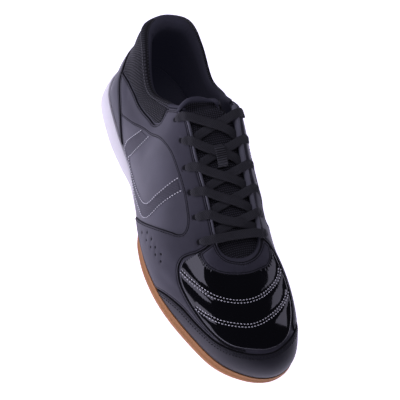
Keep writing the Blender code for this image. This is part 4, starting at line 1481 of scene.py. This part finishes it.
class SHOE_OT_upper(bpy.types.Operator):
    """Makes the hollow upper and its collar lining"""

    bl_idname = "shoe.upper"
    bl_label = "Upper and collar"

    def execute(self, context):
        colours, sizes = context.scene.shoe_colours, context.scene.shoe_sizes
        places = np.linspace(0, STATION_COUNT, WALL_GRID[0], endpoint=False)
        heights = np.linspace(0, 1, WALL_GRID[1])
        t, s = np.meshgrid(places, heights, indexing="ij")
        outer = skin(t, s, np.zeros_like(t))
        inner = wall(t, s) - outward(t, s) * (sizes.wall - np.minimum(relief(t, s), 0))[..., None]
        rows, lanes = t.shape
        count = rows * lanes
        faces = grid_faces(rows, lanes, ring_rows=True)
        faces += grid_faces(rows, lanes, ring_rows=True, start=count, flip=True)
        for i in range(rows):
            k = (i + 1) % rows
            a, b = i * lanes, k * lanes
            faces.append((b, a, a + count, b + count))
            a, b = a + lanes - 1, b + lanes - 1
            faces.append((a, b, b + count, a + count))
        slots = [0] * (rows * (lanes - 1)) + [1] * (len(faces) - rows * (lanes - 1))
        uv = np.stack([t * STATION_RUN, s * WALL_RUN], -1).reshape(-1, 2)
        points = np.concatenate([outer.reshape(-1, 3), inner.reshape(-1, 3)])
        # The side under the panels takes the paler leather: painted light.
        materials = [leather("lit_quarter_leather_look", colours.lit_quarter, gloss=0.42), lining(colours)]
        item = add_object("upper_wall", points, faces, materials, slots, np.concatenate([uv, uv]))
        centres, axes = [], []
        for place, height in eyelets(sizes, False) + eyelets(sizes, True):
            centres.append(skin(place, height, 0.0))
            axes.append(outward(place, height))
        drilled(item, centres, axes, sizes.eyelet_radius, 8 * sizes.wall)
        spots = np.array([vertex.co for vertex in item.data.vertices])
        # Points on the eyelet holes' walls get an edge distance of nought, so the leather paints them dark:
        # painted shade inside the holes. Nine stands for far from any edge.
        rim = np.full(len(spots), 9.0)
        for centre, axis in zip(centres, axes):
            away = spots - centre
            along = away @ axis
            round_axis = np.linalg.norm(away - along[:, None] * axis, axis=1)
            rim[(round_axis < 1.05 * sizes.eyelet_radius) & (abs(along) < 4 * sizes.wall)] = 0.0
        point_values(item, "edge_mm", rim)
        dress(item, "black_leather", "upper")
        self.make_cuff(colours)
        self.make_binding(colours)
        return {"FINISHED"}

    def make_cuff(self, colours):
        """The padded lining that rolls over the collar's edge, higher at its two ends."""
        section = np.column_stack([CUFF_SECTION, np.zeros(len(CUFF_SECTION))])
        section = smooth_path(section, CUFF_POINTS)[:, :2]
        rings, pale, meshed = [], [], []
        covered = (section[:, 0] > CUFF_MESH[0]) & (section[:, 1] > CUFF_MESH[1])
        places = np.linspace(-CUFF_END, CUFF_END, CUFF_RINGS)
        for place in places:
            end = smooth(0.0, 0.55, 4.8 - abs(place))
            rise = CUFF_RISE * smooth(3.0, 4.1, abs(place)) - CUFF_FALL * (1 - smooth(1.0, 2.0, abs(place)))
            run = section[:, 0] * (0.35 + 0.65 * end) + rise * smooth(-8, 0, section[:, 0])
            slim = 0.46 + 0.2 * smooth(-1.6, -0.5, place) + 0.04 * smooth(1.2, 2.2, place)
            lift = section[:, 1] * slim * (0.5 + 0.5 * end)
            lift = lift + np.where(section[:, 1] > 0, 0.4 * (1 - end), 0)
            rings.append(rolled(place, run * MM, lift * MM))
            # Full on the roll at the heel and outer side, four tenths on the inner side, nought deeper down
            # the inside: painted shade.
            pale.append((0.4 + 0.6 * smooth(-1.6, -0.5, place)) * smooth(-9, -3, section[:, 0]))
            meshed.append(covered & (CUFF_MESH_ENDS[0] < abs(place) < CUFF_MESH_ENDS[1]))
        slots = np.append(np.concatenate(meshed[:-1]), (False, False))
        around, along = np.meshgrid(lengths(section) * MM, places * STATION_RUN)
        uv = np.stack([along, around], -1).reshape(-1, 2)
        item = swept("collar_lining", np.array(rings), [lining(colours), shaded_collar_knit(colours)], slots, uv)
        point_values(item, "roll", np.concatenate(pale))
        dress(item, "dark_lining", "collar_cuff")

    def make_binding(self, colours):
        """The pale bound edge round the throat."""
        section = np.array(BINDING_SECTION) * MM
        sides = []
        for inner in (False, True):
            rings = []
            for place in np.linspace(*BINDING_ENDS, BINDING_RINGS):
                end = smooth(0.0, 0.4, min(place - BINDING_ENDS[0], BINDING_ENDS[1] - place) + 0.05)
                at = STATION_COUNT - place if inner else place
                rings.append(rolled(at, section[:, 0] * end - 0.001 * (1 - end), section[:, 1] * end))
            sides.append(swept("binding", np.array(rings), [thread_look("binding_look", colours.binding)]))
        dress(joined("throat_binding", sides), "black_leather")


class SHOE_OT_panels(bpy.types.Operator):
    """Makes the sewn panels on the upper"""

    bl_idname = "shoe.panels"
    bl_label = "Panels"

    def execute(self, context):
        colours, sizes = context.scene.shoe_colours, context.scene.shoe_sizes
        hide, thick = leather("black_leather_look", colours.leather), sizes.overlay
        dark_hide = leather("dark_leather_look", colours.cap, 0.3, 0.26)
        pinholes = [circle(t, s, sizes.pinhole_radius, 10) for t, s in PINHOLES]
        punched = [circle(t, s, sizes.eyelet_radius) for t, s in eyelets(sizes, False)]
        outer = panel("outer_quarter", OUTER_QUARTER, hide, 0.0, thick, punched + pinholes)
        dress(outer, "black_leather", "eyestay_lateral", "forefoot_lateral")
        runs = [on_side(run, True) for run in INNER_QUARTER]
        punched = [circle(t, s, sizes.eyelet_radius) for t, s in eyelets(sizes, True)]
        inner = panel("inner_quarter", runs, hide, 0.0, thick, punched)
        dress(inner, "black_leather", "eyestay_medial", "forefoot_medial")
        dress(panel("toe_cap_layer", TOE_CAP, dark_hide, 0.0, thick), "black_leather", "toe_cap")
        rows = [smooth_line(line, 0.0012) for line in (PATENT_ROW_HIGH, PATENT_ROW_LOW)]
        vamp = panel("patent_vamp", (PATENT_LOW, PATENT_TOP), patent(colours), 0.0, thick, cell=FINE_CELL,
                     troughs=rows, groove=0.0)
        dress(vamp, "patent_leather", "vamp_panel")
        guard = panel("throat_guard_layer", GUARD, hide, GUARD_LIFT, thick, cell=FINE_CELL)
        dress(guard, "black_leather", "throat_guard")
        dress(panel("heel_counter_layer", COUNTER, hide, 0.0, thick), "black_leather", "heel_counter")
        knit = shaded_collar_knit(colours)
        cloth = woven(colours)
        for side, flip in (("outer", False), ("inner", True)):
            runs = [on_side(run, flip) for run in COLLAR_MESH]
            mesh = panel("collar_mesh_" + side, runs, knit, -CLOTH_SINK, MESH_THICK, groove=0.0)
            dress(mesh, "black_mesh")
            runs = [on_side(run, flip) for run in SIDE_BAND]
            band = panel("side_band_" + side, runs, cloth, -CLOTH_SINK, BAND_THICK, groove=0.0)
            dress(band, "black_leather")
        return {"FINISHED"}


class SHOE_OT_tongue(bpy.types.Operator):
    """Makes the padded tongue and the lace keeper on it"""

    bl_idname = "shoe.tongue"
    bl_label = "Tongue"

    def execute(self, context):
        colours, sizes = context.scene.shoe_colours, context.scene.shoe_sizes
        places = np.linspace(TONGUE_FRONT, TONGUE_BACK, TONGUE_ROWS)
        under = np.linspace(TONGUE_UNDER, 0.985, TONGUE_UNDER_LANES)
        across = np.linspace(-1, 1, TONGUE_LANES)
        half = sizes.tongue_thick / 2
        rows = []
        for place in places:
            sides = []
            for p in (place, STATION_COUNT - place):
                at = np.full(len(under), p)
                sides.append(wall(at, under) - outward(at, under) * TONGUE_DROP)
            free = 1 - smooth(TONGUE_BACK, TONGUE_FREE, place)
            face = bridge(place, -1 + (across + 1) * (1 - TONGUE_FREE_SHARE * free))
            curl = face[-1] - bridge_up(place, 0.4) * np.linspace(0.0005, 0.006, len(under))[:, None]
            sides[1] = sides[1] + (curl[::-1] - sides[1]) * free
            rows.append(np.concatenate([sides[0], face, sides[1][::-1]]))
        end = rows[-1]
        u = np.linspace(-1, 1, len(end))[:, None]
        tip = np.array(TONGUE_TIP) * MM + SHIFT
        tip = tip[0] * u * (u - 1) / 2 + tip[1] * (1 - u * u) + tip[2] * u * (u + 1) / 2
        for step in np.linspace(0, 1, TONGUE_TIP_ROWS)[1:]:
            reach = step * (1 - np.where(u < 0, 0.3, 0.1) * np.abs(u) ** 5)
            rows.append(end * (1 - reach) + tip * reach)
        face = np.array(rows[::-1])
        normal = normals_of(face)
        middle = face - normal * (half + 0.0004)
        count, lanes = face.shape[:2]
        from_tip = np.arange(count)[:, None] * TIP_STEP
        from_side = from_ends(lanes)[None, :] * LANE_STEP
        from_front = (count - 1 - np.arange(count))[:, None] * FRONT_STEP
        gap = np.minimum(np.minimum(from_tip, from_side), from_front)
        swell = np.sqrt(1 - (1 - np.clip(gap / TONGUE_ROUND, 0, 1)) ** 2)
        swell = swell * (1 - 0.3 * np.exp(-(np.arange(count)[:, None] - TONGUE_BOUND_ROWS) ** 2 / 1.5))
        bound = np.tile(np.repeat(np.arange(count - 1) < TONGUE_BOUND_ROWS, lanes - 1), 2)
        along = np.broadcast_to(lengths(face[:, lanes // 2])[:, None], (count, lanes))
        widths = np.linalg.norm(np.diff(face, axis=1), axis=2)
        over = np.concatenate([np.zeros((count, 1)), np.cumsum(widths, axis=1)], axis=1)
        over = over - over[:, lanes // 2:lanes // 2 + 1]
        knit = air_mesh("tongue_mesh_look", colours.mesh, 0.0017, 0.0017)
        uv = np.stack([over, along], -1)
        item = pillow("padded_tongue", middle, half * swell, [knit, lining(colours)], uv, bound)
        dress(item, "black_mesh", "tongue")
        # The tongue's lining is left out of the lining's painted shade.
        point_values(item, "roll", np.ones(len(item.data.vertices)))
        self.make_keeper(colours, sizes)
        return {"FINISHED"}

    def make_keeper(self, colours, sizes):
        """The ribbed webbing that holds the lace to the tongue."""
        rows = (eyelet_places(False) + eyelet_places(True)) / 2
        middle = rows[1] + (rows[2] - rows[1]) * LACE_START / (LACE_START - LACE_STOP) + KEEPER_AHEAD
        spacing = np.linalg.norm(bridge(rows[2], 0.0) - bridge(rows[1], 0.0))
        per_metre = (rows[2] - rows[1]) / spacing
        stops = []
        for run, height in KEEPER_ARCH:
            place = middle + run * KEEPER_HALF * per_metre
            up = bridge_up(place, 0.0)
            stops.append([*(bridge(place, 0.0) + up * height), *up])
        path = smooth_path(stops, KEEPER_ROWS)
        run = np.linspace(0, 1, KEEPER_ROWS)
        ribs = np.abs(np.sin(np.pi * sizes.rib_count * run)) ** 0.7 * KEEPER_RIB
        centre = path[:, :3] + path[:, 3:6] * ribs[:, None]
        cloth = webbing(colours, lengths(path[:, :3])[-1] / sizes.rib_count)
        widths = np.full(KEEPER_ROWS, KEEPER_WIDTH)
        item = strip("lace_keeper", centre, path[:, 3:6], widths, KEEPER_THICK, cloth)
        dress(item, "black_lace", "tongue_loop")


class SHOE_OT_laces(bpy.types.Operator):
    """Makes the flat lace: a bar at the lowest eyelets and the crossings above it"""

    bl_idname = "shoe.laces"
    bl_label = "Laces"

    def execute(self, context):
        colours, sizes = context.scene.shoe_colours, context.scene.shoe_sizes
        cloth = lace_cloth(colours)
        outer, inner = eyelet_places(False), eyelet_places(True)
        for i in range(EYELET_ROWS - 1):
            pair = []
            for side, over, first, last in ((1, 0.0016, outer[i], inner[i + 1] + LACE_AHEAD[0]),
                                            (-1, 0.0, inner[i], outer[i + 1] + LACE_AHEAD[1])):
                path = smooth_path(lace_run(sizes, first, last, side, over), LACE_ROWS)
                name = "lace_%d_%d" % (i, side)
                pair.append(strip(name, path[:, :3], path[:, 3:6], path[:, 6], sizes.lace_thick, cloth))
            dress(joined("lace_crossing_%d" % (i + 1), pair), "black_lace", "lace_cross_%d" % (i + 1))
        self.make_bar(sizes, cloth, outer[-1], inner[-1])
        return {"FINISHED"}

    def make_bar(self, sizes, cloth, outer, inner):
        """The straight bar between the lowest eyelets."""
        halves = []
        lift = lace_seat(sizes) + LACE_LIFT
        for at, forward in ((outer, BAR_AHEAD), (STATION_COUNT - inner, -BAR_AHEAD)):
            eye = eyelet_height(at, sizes)
            half = lace_root(at, (at + forward, 0.98), sizes)
            for share in (0.6, 0.92):
                height = eye + share * (1 - eye)
                ahead = at + share * forward
                half.append([*skin(ahead, height, lift), *outward(ahead, height), sizes.lace_width])
            halves.append(half)
        middle = []
        for share in (-0.75, -0.4, 0.0, 0.4, 0.75):
            place = np.interp(share, (LACE_START, -LACE_START), (outer, inner)) + BAR_AHEAD
            up = bridge_up(place, share)
            lift = 0.0034 + 0.0006 * share * share
            middle.append([*(bridge(place, share) + up * lift), *up, sizes.lace_width])
        path = smooth_path(np.concatenate([halves[0], middle, halves[1][::-1]]), BAR_ROWS)
        item = strip("lace_lowest_bar", path[:, :3], path[:, 3:6], path[:, 6], sizes.lace_thick, cloth)
        dress(item, "black_lace", "lace_bar")


class SHOE_OT_stitching(bpy.types.Operator):
    """Sews the pale and dark stitch lines"""

    bl_idname = "shoe.stitching"
    bl_label = "Stitching"

    def execute(self, context):
        colours, sizes = context.scene.shoe_colours, context.scene.shoe_sizes
        tree = stitch_tree()
        pale = thread_look("pale_thread_look", colours.thread)
        dark = thread_look("dark_thread_look", colours.patent)
        top, spacing = sizes.overlay, 0.0008
        rows = []
        for line in (PATENT_ROW_HIGH, PATENT_ROW_LOW):
            middle = smooth_line(line, spacing)
            for gap in (-PATENT_ROW_GAP, PATENT_ROW_GAP):
                rows.append((aside(middle, gap), top - 2 * STITCH_SINK))
        for flip in (False, True):
            for line in (BAND_OUTER, BAND_INNER):
                rows.append((smooth_line(on_side(line, flip), spacing), BAND_STITCH_LIFT))
        dress(sew("pale_stitching", tree, rows, pale, sizes), "patent_leather")
        cap = smooth_line(CAP_SEAM, spacing)
        rows = [(aside(cap, -CAP_ROW_INSETS[0]), top - STITCH_SINK),
                (aside(cap, -CAP_ROW_INSETS[1]), top + WALL_STITCH_LIFT)]
        for flip in (False, True):
            inward = -SEAM_INSET if flip else SEAM_INSET
            for line in (QUARTER_SEAM, MESH_SIDE, COUNTER_SEAM):
                path = smooth_line(on_side(line, flip), spacing)
                rows.append((aside(path, inward), top - STITCH_SINK))
            rows.append((smooth_line(on_side(HEEL_ROW, flip), spacing), WALL_STITCH_LIFT))
        dress(sew("dark_stitching", tree, rows, dark, sizes), "black_leather")
        bpy.data.node_groups.remove(tree)
        return {"FINISHED"}


def direction(azimuth, elevation):
    """The direction towards an azimuth and an elevation in degrees."""
    a, e = np.radians((azimuth, elevation))
    return np.array([np.cos(a) * np.cos(e), np.sin(a) * np.cos(e), np.sin(e)])


class SHOE_OT_stage(bpy.types.Operator):
    """Sets the pale floor, the soft lights and the camera"""

    bl_idname = "shoe.stage"
    bl_label = "Stage"

    def execute(self, context):
        scene = context.scene
        scene.view_settings.view_transform = "Standard"
        look = Finish("floor_look", scene.shoe_colours.floor, 0.9)
        look.set("Emission Color", (0.92, 0.88, 1.12, 1.0))
        look.set("Emission Strength", 1.2)
        corners = [(x * FLOOR_HALF, y * FLOOR_HALF, 0) for x, y in ((-1, -1), (1, -1), (1, 1), (-1, 1))]
        item = add_object("floor", corners, [(0, 1, 2, 3)], [look.material])
        item.location.z = -FLOOR_DROP
        world = bpy.data.worlds.new("studio")
        world.use_nodes = True
        air = world.node_tree.nodes["Background"].inputs
        air["Color"].default_value = (0.9, 0.88, 1.2, 1.0)
        air["Strength"].default_value = 0.035
        scene.world = world
        for box in SOFTBOXES:
            self.make_light(box)
        self.make_camera(scene)
        return {"FINISHED"}

    def make_light(self, box):
        """A wide soft light that faces the shoe."""
        light = bpy.data.lights.new(box.name, "AREA")
        light.shape = "RECTANGLE"
        light.size, light.size_y = box.width, box.height
        light.energy = box.power
        light.color = LIGHT_COLOUR
        towards = Vector(direction(box.azimuth, box.elevation))
        item = bpy.data.objects.new(box.name, light)
        item.location = Vector(LIGHT_TARGET) + towards * box.distance
        item.rotation_euler = towards.to_track_quat("Z", "Y").to_euler()
        bpy.context.scene.collection.objects.link(item)

    def make_camera(self, scene):
        """The camera at the photograph's angle."""
        a, r = np.radians((CAMERA_AZIMUTH, CAMERA_ROLL))
        back = direction(CAMERA_AZIMUTH, CAMERA_ELEVATION)
        level = np.array([-np.sin(a), np.cos(a), 0.0])
        above = np.cross(back, level)
        right = level * np.cos(r) + above * np.sin(r)
        up = above * np.cos(r) - level * np.sin(r)
        eye = (np.array(CAMERA_TARGET) + back * CAMERA_DISTANCE) * MM + SHIFT
        data = bpy.data.cameras.new("camera")
        data.lens = CAMERA_FOCAL / FRAME_PIXELS * data.sensor_width
        data.shift_x = (FRAME_PIXELS / 2 - CAMERA_CENTRE[0]) / FRAME_PIXELS
        data.shift_y = (CAMERA_CENTRE[1] - FRAME_PIXELS / 2) / FRAME_PIXELS
        data.clip_start = 0.01
        camera = bpy.data.objects.new("camera", data)
        matrix = Matrix.Identity(4)
        for i in range(3):
            matrix[i][0], matrix[i][1], matrix[i][2], matrix[i][3] = right[i], up[i], back[i], eye[i]
        camera.matrix_world = matrix
        scene.collection.objects.link(camera)
        scene.camera = camera


class SHOE_PT_panel(bpy.types.Panel):
    """Lists the shoe's pieces and sizes"""

    bl_label = "Court shoe"
    bl_space_type = "VIEW_3D"
    bl_region_type = "UI"
    bl_category = "Shoe"

    def draw(self, context):
        layout = self.layout
        for operator in OPERATORS:
            layout.operator(operator.bl_idname)
        for group in (context.scene.shoe_sizes, context.scene.shoe_colours):
            box = layout.box()
            for name in group.__annotations__:
                box.prop(group, name)


OPERATORS = (SHOE_OT_stage, SHOE_OT_sole, SHOE_OT_upper, SHOE_OT_panels, SHOE_OT_tongue, SHOE_OT_laces,
             SHOE_OT_stitching)
CLASSES = (ShoeSizes, ShoeColours, *OPERATORS, SHOE_PT_panel)


def register():
    for kind in CLASSES:
        bpy.utils.register_class(kind)
    bpy.types.Scene.shoe_sizes = PointerProperty(type=ShoeSizes)
    bpy.types.Scene.shoe_colours = PointerProperty(type=ShoeColours)


def unregister():
    del bpy.types.Scene.shoe_colours
    del bpy.types.Scene.shoe_sizes
    for kind in reversed(CLASSES):
        bpy.utils.unregister_class(kind)


def main():
    register()
    bpy.ops.shoe.stage()
    bpy.ops.shoe.sole()
    bpy.ops.shoe.upper()
    bpy.ops.shoe.panels()
    bpy.ops.shoe.tongue()
    bpy.ops.shoe.laces()
    bpy.ops.shoe.stitching()


if __name__ == "__main__":
    main()
